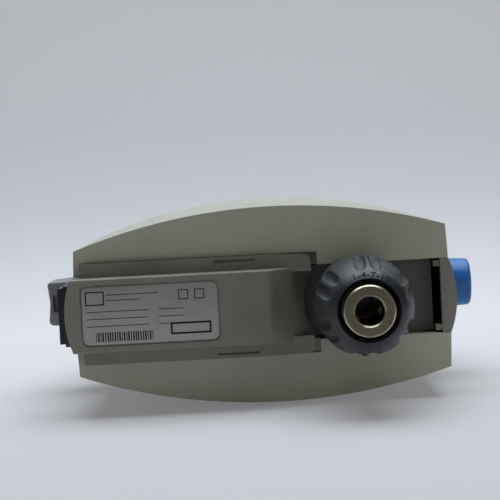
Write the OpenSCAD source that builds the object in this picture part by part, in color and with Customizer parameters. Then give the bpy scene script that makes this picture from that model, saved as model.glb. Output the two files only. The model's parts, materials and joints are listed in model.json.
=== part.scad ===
// Bench overhead stirrer, hung by a rear rod boss: bowed side shells on a cast frame, a motor that
// drives the spindle through a ribbed belt, and a keyless three-jaw chuck under the front end.
// Millimetres. +Z is up, -Y is the front (the control knob), and the origin is the centre of the
// mouth of the support-rod bore in the rear boss.

/* [Housing] */
// Width across the bowed sides at the lower rim
body_w = 80; // [78:0.5:86]
// Length of the side shells beside the spine
body_len = 152.8; // [151:0.2:158]
// Height of the side shells
body_h = 157; // [155:1:170]
// Plan radius of the bowed sides
side_r = 236; // [220:1:300]
// Distance from the rear edge to the widest point
crest_from_rear = 81.6; // [76:0.2:86]
// Outward lean of the sides in degrees
draft = 0.6; // [0.2:0.1:1]
// Sweep of the shells' front and rear edges in degrees
rake = 2.6; // [1:0.1:4]
// Radius of the upper front and rear corners
corner_r = 20; // [14:1:24]
// Wall thickness of the mouldings
wall = 2.4; // [2:0.1:2.8]
// Width of the spine between the shells
spine_w = 30.6; // [29.6:0.2:32]
// Height by which the spine bows out past the shells
crown = 3; // [2:0.1:4]

/* [Lower cover] */
// Width of the pan
pan_w = 29.6; // [28.8:0.1:30.4]
// Depth of the pan below the rim
pan_depth = 13.4; // [12.4:0.1:16]
// Width across the pan's side ledges
ledge_w = 40.4; // [38:0.1:42]
// Depth of the ledges below the rim
ledge_depth = 4; // [3.2:0.1:5]
// Thickness of the ledges
ledge_t = 5; // [4.6:0.1:6]
// Length of the pan's ramp
ramp_len = 17.9; // [15:0.1:19]
// Radius of the well round the chuck
well_r = 22; // [20.5:0.1:24]
// Length of the rating plate
plate_len = 54.2; // [40:0.1:60]
// Width of the rating plate
plate_w = 23.2; // [18:0.1:24]

/* [Support rod] */
// Radius of the support rod
rod_r = 6; // [5:0.1:6.5]
// Depth of the rod bore
rod_depth = 42; // [30:0.5:44]
// Height of the rod's axis above the lower rim
rod_height = 74; // [72:0.5:78]
// Reach of the boss behind the shells
boss_reach = 18; // [16:0.5:24]
// Width and height of the boss's end
boss_w = 18.6; // [17:0.1:19]

/* [Drive] */
// Distance from the shells' rear edge to the spindle
spindle_from_rear = 115.4; // [114:0.1:117]
// Distance between the motor and spindle axes
belt_span = 44.4; // [43.5:0.1:45.5]
// Outer radius of the motor
motor_r = 27; // [26:0.5:28]
// Length of the motor
motor_len = 84; // [80:1:86]
// Radius of the motor pulley
small_pulley_r = 10; // [9:0.5:11]
// Radius of the spindle pulley
large_pulley_r = 25; // [22:0.5:25.5]
// Width of the belt
belt_w = 10; // [8:0.5:10.5]
// Radius of the spindle
spindle_r = 6; // [5.5:0.1:6.2]

/* [Chuck] */
// Distance from the lower rim to the chuck's nose
chuck_drop = 55.4; // [54:0.2:62]
// Largest radius of the sleeve
sleeve_r = 19.3; // [18.4:0.1:20]
// Radius of the chuck body
chuck_r = 14.6; // [14.4:0.1:15]
// Radius of the nose ring
nose_r = 9.8; // [9:0.1:10]
// Radius of the bore in the nose
bore_r = 5.4; // [5.2:0.05:5.6]
// Radius of a jaw
jaw_r = 3; // [2.8:0.05:3.1]
// Opening radius between the jaws at rest
open_r = 4.6; // [4.2:0.1:4.8]
// Pairs of grip dimples round the sleeve
dimple_pairs = 6; // [4:1:7]

/* [Controls] */
// Radius of the speed knob
knob_r = 11; // [10:0.1:12]
// Length of the speed knob
knob_len = 15.4; // [13:0.1:18]
// Height of the knob's axis above the lower rim
knob_height = 70; // [66:0.5:76]
// Width of the display window
window_w = 21; // [18:0.5:22]
// Height of the display window
window_h = 14; // [12:0.5:15]
// Width of the power inlet's flange
inlet_w = 22.7; // [22.4:0.1:23.4]
// Tilt of the power rocker in degrees, either way from level
rocker_tilt = 9; // [6:0.5:10]

/* [Hidden] */
$fn = 64;

// Clearances
fit_gap = 0.05;   // between pieces that are pressed or screwed together
run_gap = 0.15;   // between pieces that turn or slide on each other
seam = 0.2;       // between neighbouring mouldings
far = 100;        // longer than any cut
fine = 200;       // facets of the large side curves

// Housing levels and stations
y_rear = -boss_reach;
y_front = y_rear - body_len;
z_rim = -rod_height;
z_top = z_rim + body_h;
crest_y = y_rear - crest_from_rear;
spindle_y = y_rear - spindle_from_rear;
motor_y = spindle_y + belt_span;
crown_r = (pow(spine_w / 2, 2) + pow(crown, 2)) / (2 * crown);
split_z = z_top - corner_r - 2;
rear_seat = wall + 0.4;

// Lower cover
pan_z = z_rim - pan_depth;
ledge_z = z_rim - ledge_depth;
channel_w = ledge_w + 4 * seam;
ledge_rear_y = y_rear - rear_seat - 3 * seam;
ramp_foot_y = spindle_y + sqrt(pow(well_r, 2) - pow(pan_w / 2, 2)) + 1.5 + ramp_len;
step_y = spindle_y + 16;
latch_len = 17;
latch_w = 1;
latch_y = ramp_foot_y + 5.5;
plate_t = 0.4;
plate_y = y_rear - 4.2 - plate_len / 2;
plate_recess = 0.6;
plate_rim = 0.7;

// Frame
frame_w = 52;
frame_t = 8;
frame_z = z_rim + 8;
bridge_t = 10;
bridge_z = frame_z + frame_t + motor_lift() + motor_len;
web_t = 6;
web_y = motor_y + motor_r + 10;
frame_front_y = y_front + 6.2;
hub_r = 20;
hub_top_z = frame_z + 22;
post_r = 5;
post_y = spindle_y - 22.6;
post_x = frame_w / 2 - post_r;
bridge_front_y = post_y - post_r;
function motor_lift() = 16;

// Motor
motor_z = frame_z + frame_t + motor_lift();
motor_top_z = motor_z + motor_len;
bell_t = 4;
bell_boss = 9;
can_t = 2;
stator_r = motor_r - can_t - seam;
stator_len = 40;
stator_z = motor_z + motor_len / 2;
pole_n = 6;
pole_w = 7;
rotor_r = 13.6;
air_gap = 0.7;
magnet_t = 2.2;
magnet_n = 8;
motor_shaft_r = 4;
motor_screw_pcd = 40;

// Bearings: bore radius, outer radius, width, ball radius
spindle_bearing = [spindle_r, spindle_r + 8, 8, 2.4];
motor_bearing = [motor_shaft_r, motor_shaft_r + 7, 7, 2];
ball_n = 8;
seat_r = spindle_bearing[1] + fit_gap;
lip_r = seat_r - 3;
lower_bearing_z = frame_z + 4;
upper_bearing_z = bridge_z + 2;

// Belt drive
pulley_z = bridge_z + bridge_t + 4;
pulley_w = belt_w + 4;
rib_n = 4;
rib_pitch = belt_w / (rib_n + 0.27);
rib_w = rib_pitch * 0.5;
rib_depth = 1.6;
belt_t = 1.5;
belt_gap = 0.3;
belt_z = pulley_z + 2;
shaft_top_z = pulley_z + pulley_w + 3;

// Chuck, measured up from the nose
nose_z = z_rim - chuck_drop;
chuck_len = chuck_drop + 1.6;
nose_len = 9;
bore_len = 10;
relief_r = bore_r + 0.4;
thread_r = 4.8;
thread_from = 39;
jaw_tilt = 16;
jaw_cross = 3;
jaw_len = 24;
jaw_tip = 15.5;
jaw_flat = 0.3;
jaw_phase = 165;
sleeve_front = 2.5;
sleeve_back = 41;
dome_to = 26;
sleeve_mouth_r = nose_r + 1;
nut_from = 24.3;
nut_len = 6.4;
nut_r = 11.4;
nut_outer_r = chuck_r + 1.6;
collar_r = sleeve_r - 0.8;
dimple_r = 2.6;
dimple_len = 8;
dimple_gap_deg = 19;
chuck_screw_r = 2.5;

// Rod boss
gusset_top = 38;
waist = 1.4;
waist_r = (pow(boss_w / 2, 2) + pow(waist, 2)) / (2 * waist);
boss_pocket_w = 8;
clamp_y = -7;
clamp_r = 3;
flange_w = 40;
flange_t = 6;
flange_z = [-14, 42];
flange_y = web_y;
holder_screw_x = 15;
holder_screw_z = [-8, 36];

// Controls
knob_z = z_rim + knob_height;
spine_front_y = y_front - crown;
knob_y = spine_front_y - 0.7;
encoder_shaft_r = 3;
bush_r = 3.5;
encoder_w = 12.4;
encoder_t = 6.4;
encoder_y = spine_front_y + wall + 0.6;
window_z = knob_z + 35;
window_t = 2;
board_t = 1.6;
display_t = 6.4;
display_back_y = spine_front_y + wall + 1.6 + display_t;
panel_back_y = y_front + 3.4;
panel_pocket_w = spine_w - 2 * seam - 2 * wall;
tab_t = 2.4;

// Power entry module: stations up from its lower edge
inlet_z = z_rim - 6;
inlet_h = 58;
flange_face_y = y_rear + crown + 3.1;
inlet_flange_t = 2.3;
inlet_body_w = inlet_w - 2.7;
inlet_depth = 22;
inlet_back_y = flange_face_y - inlet_flange_t - inlet_depth;
socket_z = inlet_z + 15.5;
socket_w = 16.4;
socket_h = 24.6;
socket_depth = 17;
pin_len = 10;
pin_pitch = 7;
drawer_z = inlet_z + 36;
drawer_w = 17;
drawer_h = 10;
drawer_depth = 21;
fuse_r = 2.6;
fuse_len = 18;
fuse_x = 3.9;
rocker_z = inlet_z + 50.5;
rocker_w = 15;
rocker_h = 10;
rocker_r = 6.4;

// Boards
power_board_w = pan_w - 2 * wall - 1.2;
power_board_len = 58;
power_board_y = inlet_back_y - 1;
power_board_z = pan_z + wall + 3.4;
control_len = 56;
control_h = 56;
control_z = stator_z - control_h / 2;
control_x = side_x(motor_y + control_len / 2, control_z) - wall - 0.6 - board_t;
standoff_r = 2.6;
board_screw_r = 1.25;
board_hole_inset = 3.4;

// Shell screws: long ones from the right shell into the left one's bosses, behind the web and between
// the motor and the spindle; the shells' pads bear on the frame's web and posts
screw_r = 1.5;
screw_head_r = 3;
screw_head_t = 2;
screw_sink = 7;
screw_grip = 12;
shell_boss_r = 3.6;
pad_r = 4.4;
rear_screw_y = web_y + 7;
front_screw_y = (motor_y - motor_r + spindle_y + spindle_r) / 2;
screw_spots = [
    [rear_screw_y, frame_z + 20], [rear_screw_y, flange_z[1] + 14],
    [front_screw_y, hub_top_z + 14], [front_screw_y, bridge_z - 14]
];
pad_spots = [for (y = [web_y - web_t / 2, post_y]) for (z = [frame_z + 22, bridge_z - 24]) [y, z]];
lip_t = 1.8;

// Half-width of the bowed side at a station and height
function side_x(y, z) =
    body_w / 2 - side_r + sqrt(pow(side_r, 2) - pow(y - crest_y, 2)) + (z - z_rim) * tan(draft);
// Radius of a jaw's centre line at a height above the nose
function jaw_radius(a) = (a - jaw_cross) * tan(jaw_tilt);
// Points between two stations on a smooth curve through four
function bend(a, b, c, d, t) =
    0.5 * (2 * b + (c - a) * t + (2 * a - 5 * b + 4 * c - d) * t * t + (3 * b - a - 3 * c + d) * t * t * t);
function smooth_path(p, n) = [
    for (i = [0 : len(p) - 2]) for (k = [0 : n - 1])
        bend(p[max(i - 1, 0)], p[i], p[i + 1], p[min(i + 2, len(p) - 1)], k / n),
    p[len(p) - 1]
];
function unit(v) = v / norm(v);

// ---------------------------------------------------------------- shared shapes

module ring(outer, inner, h) {
    difference() {
        cylinder(r = outer, h = h);
        translate([0, 0, -1]) cylinder(r = inner, h = h + 2);
    }
}

module box(x, y, z) {
    translate([x[0], y[0], z[0]]) cube([x[1] - x[0], y[1] - y[0], z[1] - z[0]]);
}

// A drawing in the Y-Z plane, extruded along X from one station to another
module along_x(from, to) {
    translate([from, 0, 0]) rotate([90, 0, 90]) linear_extrude(to - from) children();
}

module at_spindle(z) {
    translate([0, spindle_y, z]) children();
}

module at_motor(z) {
    translate([0, motor_y, z]) children();
}

module rounded_plate(w, l, h, r) {
    linear_extrude(h) {
        square([w - 2 * r, l], center = true);
        square([w, l - 2 * r], center = true);
        for (x = [-1, 1]) for (y = [-1, 1])
            translate([x * (w / 2 - r), y * (l / 2 - r)]) circle(r, $fn = 32);
    }
}

// A round wire swept along a list of points
module wire(points, r, sides = 8) {
    n = len(points);
    tangents = [for (i = [0 : n - 1]) unit(points[min(i + 1, n - 1)] - points[max(i - 1, 0)])];
    sideways = [for (t = tangents) unit(cross(t, [1, 0.2, 0.1]))];
    rings = [for (i = [0 : n - 1]) for (k = [0 : sides - 1])
        points[i] + r * (cos(k * 360 / sides) * sideways[i]
            + sin(k * 360 / sides) * cross(tangents[i], sideways[i]))];
    skin = [for (i = [0 : n - 2]) for (k = [0 : sides - 1])
        [i * sides + k, i * sides + (k + 1) % sides, (i + 1) * sides + (k + 1) % sides, (i + 1) * sides + k]];
    caps = [[for (k = [sides - 1 : -1 : 0]) k], [for (k = [0 : sides - 1]) (n - 1) * sides + k]];
    polyhedron(rings, concat(skin, caps));
}

module screw_z(head_r, head_h, shank_r, shank_len) {
    cylinder(r = head_r, h = head_h);
    translate([0, 0, -shank_len]) cylinder(r = shank_r, h = shank_len + 0.01);
}

// ---------------------------------------------------------------- housing

// Side profile of the housing, grown outward by g, from a lower level up
module profile(g, low) {
    r = corner_r + g;
    translate([y_front - g, low]) square([body_len + 2 * g, z_top - corner_r - low]);
    translate([y_front + corner_r, low]) square([body_len - 2 * corner_r, z_top + g - low]);
    for (y = [y_front + corner_r, y_rear - corner_r]) translate([y, z_top - corner_r]) circle(r);
}

// One side's full outer form, shrunk inward by an inset
module side_form(side, inset) {
    lean = (60 - spine_w / 2) * tan(rake);
    intersection() {
        along_x(-60, 60) profile(-inset, z_rim + inset);
        linear_extrude(2 * far + body_h, center = true) polygon([
            [side * -1, y_front + inset], [side * spine_w / 2, y_front + inset],
            [side * 60, y_front + inset + lean], [side * 60, y_rear - inset - lean],
            [side * spine_w / 2, y_rear - inset], [side * -1, y_rear - inset]
        ]);
        translate([side * (body_w / 2 - side_r), crest_y, z_rim]) rotate([0, side * draft, 0])
            cylinder(r = side_r - inset, h = 3 * body_h, center = true, $fn = fine);
    }
}

// Everything on one side of the mid plane past a distance x
module beyond(side, x) {
    translate([side * (x + far / 2), y_front + body_len / 2, z_rim + body_h / 2])
        cube([far, 2 * body_len, 2 * body_h], center = true);
}

module shell(side) {
    difference() {
        union() {
            difference() {
                intersection() {
                    side_form(side, 0);
                    beyond(side, spine_w / 2);
                }
                side_form(side, wall);
            }
            // lip that walls the front bay up to the frame
            box(side > 0 ? [spine_w / 2, spine_w / 2 + lip_t] : [-spine_w / 2 - lip_t, -spine_w / 2],
                [y_front + wall - 1, step_y], [z_rim + 1, frame_z - 2 * seam]);
            intersection() {
                side_form(side, wall / 2);
                union() {
                    for (p = screw_spots) translate([side * seam / 2, p[0], p[1]])
                        rotate([0, side * 90, 0]) cylinder(r = shell_boss_r, h = far);
                    for (p = pad_spots) translate([side * (frame_w / 2 + seam), p[0], p[1]])
                        rotate([0, side * 90, 0]) cylinder(r = pad_r, h = far);
                    if (side < 0) for (s = [-1, 1]) for (t = [-1, 1])
                        translate([side * (control_x + board_t), motor_y + s * (control_len / 2 - board_hole_inset),
                                   control_z + control_h / 2 + t * (control_h / 2 - board_hole_inset)])
                            rotate([0, side * 90, 0]) cylinder(r = standoff_r, h = far);
                }
            }
        }
        if (side < 0) for (p = screw_spots) translate([-screw_grip - 2, p[0], p[1]])
            rotate([0, 90, 0]) cylinder(r = screw_r + fit_gap, h = far);
        if (side > 0) for (p = screw_spots) translate([0, p[0], p[1]]) rotate([0, 90, 0]) {
            cylinder(r = screw_r + 0.2, h = far);
            translate([0, 0, side_x(p[0], p[1]) - screw_sink]) cylinder(r = screw_head_r + 0.3, h = far);
        }
        // wider channel under the rear half, for the lower cover's ledges
        box([side > 0 ? 0 : -channel_w / 2, side > 0 ? channel_w / 2 : 0],
            [step_y, ledge_rear_y + seam], [z_rim - 1, z_rim + wall + 1]);
    }
}

// The spine's outer envelope, shrunk inward by an inset
module spine_form(inset, half_w) {
    top = z_top + crown - crown_r;
    intersection() {
        along_x(-half_w, half_w) profile(crown - inset, pan_z);
        translate([0, y_front - crown + crown_r, 0])
            union() {
                cylinder(r = crown_r - inset, h = 3 * body_h, center = true);
                box([-far, far], [0, 2 * body_len], [-2 * body_h, 2 * body_h]);
            }
        translate([0, y_rear + crown - crown_r, 0])
            union() {
                cylinder(r = crown_r - inset, h = 3 * body_h, center = true);
                box([-far, far], [-2 * body_len, 0], [-2 * body_h, 2 * body_h]);
            }
        union() {
            translate([0, 0, top]) rotate([90, 0, 0])
                cylinder(r = crown_r - inset, h = 4 * body_len, center = true);
            box([-far, far], [-2 * body_len, 2 * body_len], [-2 * body_h, top]);
        }
    }
}

module front_panel() {
    color([0.42, 0.42, 0.39]) difference() {
        union() {
            difference() {
                intersection() {
                    spine_form(0, spine_w / 2 - seam);
                    box([-far, far], [y_front - far, panel_back_y], [z_rim, split_z - seam / 2]);
                }
                intersection() {
                    spine_form(wall, panel_pocket_w / 2);
                    box([-far, far], [y_front - far, panel_back_y + 1], [z_rim + 4, split_z + 1]);
                }
            }
            // tabs that hook over the frame's front edge
            for (s = [-1, 1]) box(s > 0 ? [spine_w / 2 - 1 - tab_t, spine_w / 2 - 1]
                                       : [1 - spine_w / 2, 1 + tab_t - spine_w / 2],
                [panel_back_y - 1, frame_front_y - seam], [z_rim + 1, z_rim + 7]);
            // posts that carry the display board
            for (z = [-1, 1]) intersection() {
                translate([0, display_back_y, window_z + z * (window_h / 2 + 7)]) rotate([90, 0, 0])
                    cylinder(r = 2, h = far);
                spine_form(wall / 2, panel_pocket_w / 2);
            }
        }
        translate([0, y_front, knob_z]) rotate([90, 0, 0]) cylinder(r = bush_r + run_gap, h = far, center = true);
        box([-window_w / 2 - seam, window_w / 2 + seam], [y_front - far, y_front + 1],
            [window_z - window_h / 2 - seam, window_z + window_h / 2 + seam]);
    }
}

module display_window() {
    color([0.05, 0.06, 0.07]) intersection() {
        difference() {
            spine_form(0.3, spine_w / 2);
            spine_form(0.3 + window_t, spine_w / 2);
        }
        box([-window_w / 2, window_w / 2], [y_front - far, y_front],
            [window_z - window_h / 2, window_z + window_h / 2]);
    }
}

module top_cover() {
    color([0.42, 0.42, 0.39]) difference() {
        intersection() {
            spine_form(0, spine_w / 2 - seam);
            box([-far, far], [y_front - far, y_rear + far], [split_z + seam / 2, z_top + far]);
        }
        spine_form(wall, panel_pocket_w / 2);
        // no deep flanks over the belt drive
        box([-far, far], [y_front + 3.4, y_rear - 3.4], [split_z, z_top - 5]);
    }
}

module rear_panel() {
    low = inlet_z - 1;
    color([0.42, 0.42, 0.39]) difference() {
        union() {
            difference() {
                intersection() {
                    spine_form(0, spine_w / 2 - seam);
                    box([-far, far], [y_rear - rear_seat, y_rear + far], [low, split_z - seam / 2]);
                }
                spine_form(wall, panel_pocket_w / 2);
            }
            // flat pad under the power module's flange
            box([-inlet_w / 2 - 0.8, inlet_w / 2 + 0.8], [y_rear - 1, flange_face_y - inlet_flange_t - fit_gap],
                [low, inlet_z + inlet_h + 1]);
        }
        box([-inlet_body_w / 2 - seam, inlet_body_w / 2 + seam], [y_rear - far, y_rear + far],
            [inlet_z + 1.2 - seam, inlet_z + inlet_h - 1.2 + seam]);
        box([-boss_w / 2 - 2 * seam, boss_w / 2 + 2 * seam], [y_rear - far, y_rear + far],
            [-boss_w / 2 - 0.6, gusset_top + 0.6]);
    }
}

// Side profile of the lower cover's pan, shrunk inward by an inset
module pan_profile(inset) {
    rise = frame_z - 1.4 - pan_z;
    slant = inset / sin(atan2(rise, ramp_len));
    polygon([
        [y_rear + crown + far, pan_z + inset], [ramp_foot_y + slant, pan_z + inset],
        [ramp_foot_y - ramp_len + slant, pan_z + inset + rise],
        [ramp_foot_y - ramp_len + slant + 4, pan_z + inset + rise],
        [ramp_foot_y + 1 + slant, ledge_z + ledge_t + inset], [y_rear + crown + far, ledge_z + ledge_t + inset]
    ]);
}

module ledge_plan(side) {
    polygon([
        [side * (pan_w / 2 - wall), ledge_rear_y], [side * (ledge_w / 2 - 1.2), ledge_rear_y],
        [side * ledge_w / 2, ledge_rear_y - 1.2], [side * ledge_w / 2, ramp_foot_y],
        [side * (ledge_w / 2 - 1.2), step_y + 7], [side * (ledge_w / 2 - 1.8), step_y + 4.6],
        [side * (pan_w / 2 - wall), step_y + 3]
    ]);
}

module lower_cover() {
    color([0.44, 0.43, 0.39]) difference() {
        union() {
            difference() {
                intersection() {
                    along_x(-pan_w / 2, pan_w / 2) pan_profile(0);
                    translate([0, y_rear + crown - crown_r, 0]) union() {
                        cylinder(r = crown_r, h = 2 * far, center = true);
                        box([-far, far], [-2 * body_len, 0], [-far, far]);
                    }
                    box([-far, far], [y_front, y_rear + crown], [pan_z - 1, frame_z - 1]);
                }
                along_x(wall - pan_w / 2, pan_w / 2 - wall) pan_profile(wall);
                box([-far, far], [y_rear - rear_seat - seam, y_rear + far], [inlet_z - 1 - seam, far]);
            }
            for (side = [-1, 1]) translate([0, 0, ledge_z]) linear_extrude(ledge_t) ledge_plan(side);
            // standoffs for the power board
            for (p = power_board_holes()) translate([p[0], p[1], pan_z + wall / 2])
                cylinder(r = standoff_r, h = power_board_z - pan_z - wall / 2);
        }
        // the ledges don't close the pan
        along_x(wall - pan_w / 2, pan_w / 2 - wall) translate([0, 0.5])
            polygon([[y_rear - 5, power_board_z], [ramp_foot_y + 3, power_board_z],
                     [ramp_foot_y - 1, frame_z], [y_rear - 5, frame_z]]);
        at_spindle(0) cylinder(r = well_r, h = 3 * far, center = true);
        translate([0, plate_y, pan_z - 1]) rounded_plate(plate_w + 2 * plate_rim, plate_len + 2 * plate_rim,
            1 + plate_recess, 3.2);
        for (side = [-1, 1]) translate([side * (ledge_w / 2 - 0.9 - latch_w / 2), latch_y + latch_len / 2, ledge_z])
            cube([latch_w, latch_len, 3 * ledge_t], center = true);
        for (p = power_board_holes()) translate([p[0], p[1], power_board_z - 2.4])
            cylinder(r = board_screw_r + fit_gap, h = 3);
    }
}

module rating_plate() {
    color([0.78, 0.78, 0.76]) translate([0, plate_y, pan_z + plate_recess - plate_t])
        rounded_plate(plate_w, plate_len, plate_t, 2.6);
}

// ---------------------------------------------------------------- frame and rod boss

module main_frame() {
    color([0.55, 0.56, 0.57]) difference() {
        union() {
            box([-frame_w / 2, frame_w / 2], [post_y - post_r, web_y], [frame_z, frame_z + frame_t]);
            // tongue that floors the front bay
            box([-spine_w / 2 + 0.6, spine_w / 2 - 0.6], [frame_front_y, post_y], [frame_z, frame_z + frame_t]);
            box([-frame_w / 2, frame_w / 2], [bridge_front_y, web_y], [bridge_z, bridge_z + bridge_t]);
            box([-frame_w / 2, frame_w / 2], [web_y - web_t, web_y], [frame_z, bridge_z + bridge_t]);
            at_spindle(frame_z) cylinder(r = hub_r, h = hub_top_z - frame_z);
            // ribs that stiffen the web
            for (s = [-1, 1]) box([s * 22 - 1.5, s * 22 + 1.5], [web_y - web_t - 6, web_y - web_t + 1],
                [frame_z, bridge_z + 1]);
        }
        at_spindle(0) cylinder(r = lip_r, h = 4 * far, center = true);
        at_spindle(lower_bearing_z) cylinder(r = seat_r, h = hub_top_z - lower_bearing_z + 1);
        at_spindle(upper_bearing_z) cylinder(r = seat_r, h = bridge_t);
        at_motor(bridge_z - 1) {
            cylinder(r = motor_bearing[1] + 1, h = bridge_t + 2);
            for (a = [45 : 90 : 315]) rotate([0, 0, a]) translate([motor_screw_pcd / 2, 0, 0])
                cylinder(r = 2.2, h = bridge_t + 2);
        }
        for (s = [-1, 1]) for (z = holder_screw_z) translate([s * holder_screw_x, web_y + 1, z]) rotate([90, 0, 0])
            cylinder(r = 2.5 + fit_gap, h = web_t + 2);
        for (s = [-1, 1]) for (z = [frame_z - 1, bridge_z + bridge_t - 3]) translate([s * post_x, post_y, z])
            cylinder(r = 2, h = 4);
    }
}

module frame_posts() {
    color([0.62, 0.63, 0.64]) for (s = [-1, 1])
        translate([s * post_x, post_y, frame_z + frame_t]) cylinder(r = post_r, h = bridge_z - frame_z - frame_t);
}

module rod_holder() {
    color([0.66, 0.67, 0.69]) difference() {
        union() {
            along_x(-boss_w / 2, boss_w / 2) polygon([
                [waist, -boss_w / 2], [waist, boss_w / 2], [waist - 2, boss_w / 2 + 1.5],
                [y_rear + crown + 2, gusset_top - 3], [y_rear + crown - 1, gusset_top],
                [flange_y + fit_gap, gusset_top], [flange_y + fit_gap, -boss_w / 2]
            ]);
            box([-flange_w / 2, flange_w / 2], [flange_y + fit_gap, flange_y + flange_t], flange_z);
        }
        // hollowed end face
        translate([0, waist_r, 0]) cylinder(r = waist_r, h = 2 * far, center = true, $fn = 128);
        rotate([90, 0, 0]) translate([0, 0, -2]) cylinder(r = rod_r + fit_gap, h = rod_depth + 2);
        box([-boss_pocket_w / 2, boss_pocket_w / 2], [clamp_y - 5, clamp_y + 4.7], [-boss_w, -rod_r - 0.9]);
        translate([0, clamp_y, -boss_w]) cylinder(r = clamp_r + fit_gap, h = boss_w);
        for (s = [-1, 1]) for (z = holder_screw_z) translate([s * holder_screw_x, flange_y + far, z])
            rotate([90, 0, 0]) cylinder(r = 2.7, h = 2 * far);
    }
}

module rod_clamp_screw() {
    color([0.25, 0.25, 0.26]) translate([0, clamp_y, -boss_w / 2 + 0.4]) difference() {
        cylinder(r = clamp_r, h = boss_w / 2 - 0.5 - rod_r - fit_gap);
        translate([0, 0, -1]) cylinder(r = 1.6, h = 2.6, $fn = 6);
    }
}

module rod_holder_screws() {
    color([0.3, 0.3, 0.31]) for (s = [-1, 1]) for (z = holder_screw_z)
        translate([s * holder_screw_x, flange_y + flange_t + fit_gap, z]) rotate([-90, 0, 0])
            screw_z(4.2, 4, 2.5, flange_t + web_t - 1);
}

// ---------------------------------------------------------------- motor

module motor_housing() {
    color([0.2, 0.2, 0.21]) at_motor(motor_z + bell_t) ring(motor_r, motor_r - can_t, motor_len - 2 * bell_t);
}

// End bell with its bearing seat facing the rotor
module end_bell() {
    difference() {
        union() {
            cylinder(r = motor_r, h = bell_t - fit_gap);
            cylinder(r = motor_bearing[1] + 3, h = bell_boss);
        }
        translate([0, 0, bell_boss - motor_bearing[2]]) cylinder(r = motor_bearing[1] + fit_gap, h = bell_boss);
        translate([0, 0, -1]) cylinder(r = motor_shaft_r + 1, h = bell_boss);
    }
}

module motor_lower_bell() {
    color([0.6, 0.61, 0.62]) at_motor(motor_z) end_bell();
}

module motor_upper_bell() {
    color([0.6, 0.61, 0.62]) difference() {
        at_motor(motor_top_z) mirror([0, 0, 1]) translate([0, 0, fit_gap]) end_bell();
        at_motor(motor_top_z - bell_t - 1) for (a = [45 : 90 : 315]) rotate([0, 0, a])
            translate([motor_screw_pcd / 2, 0, 0]) cylinder(r = 2 + fit_gap, h = bell_t + 2);
    }
}

module stator_core() {
    color([0.5, 0.5, 0.52]) at_motor(stator_z - stator_len / 2) difference() {
        union() {
            ring(stator_r, stator_r - 3.6, stator_len);
            for (k = [0 : pole_n - 1]) rotate([0, 0, k * 360 / pole_n])
                box([rotor_r, stator_r - 2], [-pole_w / 2, pole_w / 2], [0, stator_len]);
            difference() {
                ring(rotor_r + air_gap + 1.6, rotor_r, stator_len);
                for (k = [0 : pole_n - 1]) rotate([0, 0, (k + 0.5) * 360 / pole_n])
                    box([0, 2 * rotor_r], [-1.2, 1.2], [-1, stator_len + 1]);
            }
        }
        translate([0, 0, -1]) cylinder(r = rotor_r + air_gap, h = stator_len + 2);
    }
}

module stator_coils() {
    inner = rotor_r + air_gap + 1.9;
    outer = stator_r - 4.7;
    color([0.72, 0.4, 0.2]) at_motor(stator_z) for (k = [0 : pole_n - 1]) rotate([0, 0, k * 360 / pole_n])
        difference() {
            translate([(inner + outer) / 2, 0, 0])
                cube([outer - inner, pole_w + 4, stator_len + 7], center = true);
            cube([3 * stator_r, pole_w + 0.4, stator_len + 0.4], center = true);
        }
}

module motor_screws() {
    color([0.3, 0.3, 0.31]) at_motor(bridge_z + bridge_t + fit_gap) for (a = [45 : 90 : 315]) rotate([0, 0, a])
        translate([motor_screw_pcd / 2, 0, 0]) screw_z(3.5, 2.4, 2, bridge_t + bell_t - 1);
}

// ---------------------------------------------------------------- bearings

function pitch_r(b) = (b[0] + b[1]) / 2;

module race(b, r_in, r_out) {
    rotate_extrude() difference() {
        translate([r_in, 0]) square([r_out - r_in, b[2]]);
        translate([pitch_r(b), b[2] / 2]) circle(b[3] + 0.08);
    }
}

module outer_ring(b) {
    race(b, pitch_r(b) + 0.7 * b[3], b[1]);
}

module inner_ring(b) {
    race(b, b[0] + fit_gap / 2, pitch_r(b) - 0.7 * b[3]);
}

module balls(b) {
    for (k = [0 : ball_n - 1]) rotate([0, 0, k * 360 / ball_n])
        translate([pitch_r(b), 0, b[2] / 2]) sphere(r = b[3], $fn = 24);
}

motor_bearing_zs = [motor_z + bell_boss - motor_bearing[2], motor_top_z - fit_gap - bell_boss];
spindle_bearing_zs = [lower_bearing_z, upper_bearing_z];

module bearing_outer_rings() {
    color([0.75, 0.76, 0.77]) {
        for (z = spindle_bearing_zs) at_spindle(z) outer_ring(spindle_bearing);
        for (z = motor_bearing_zs) at_motor(z) outer_ring(motor_bearing);
    }
}

module bearing_balls() {
    color([0.8, 0.81, 0.82]) {
        for (z = spindle_bearing_zs) at_spindle(z) balls(spindle_bearing);
        for (z = motor_bearing_zs) at_motor(z) balls(motor_bearing);
    }
}

module spindle_inner_rings() {
    color([0.75, 0.76, 0.77]) for (z = spindle_bearing_zs) at_spindle(z) inner_ring(spindle_bearing);
}

module motor_inner_rings() {
    color([0.75, 0.76, 0.77]) for (z = motor_bearing_zs) at_motor(z) inner_ring(motor_bearing);
}

// ---------------------------------------------------------------- rotor and belt drive

module motor_shaft() {
    from = motor_bearing_zs[0] - 1;
    color([0.7, 0.71, 0.72]) at_motor(from) cylinder(r = motor_shaft_r, h = shaft_top_z - 2 - from);
}

module rotor_core() {
    color([0.5, 0.5, 0.52]) at_motor(stator_z - stator_len / 2)
        ring(rotor_r - magnet_t, motor_shaft_r + fit_gap, stator_len);
}

module rotor_magnets() {
    color([0.3, 0.3, 0.33]) at_motor(stator_z - stator_len / 2) difference() {
        ring(rotor_r, rotor_r - magnet_t + fit_gap, stator_len);
        for (k = [0 : magnet_n - 1]) rotate([0, 0, k * 360 / magnet_n])
            box([0, 2 * rotor_r], [-0.25, 0.25], [-1, stator_len + 1]);
    }
}

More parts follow.
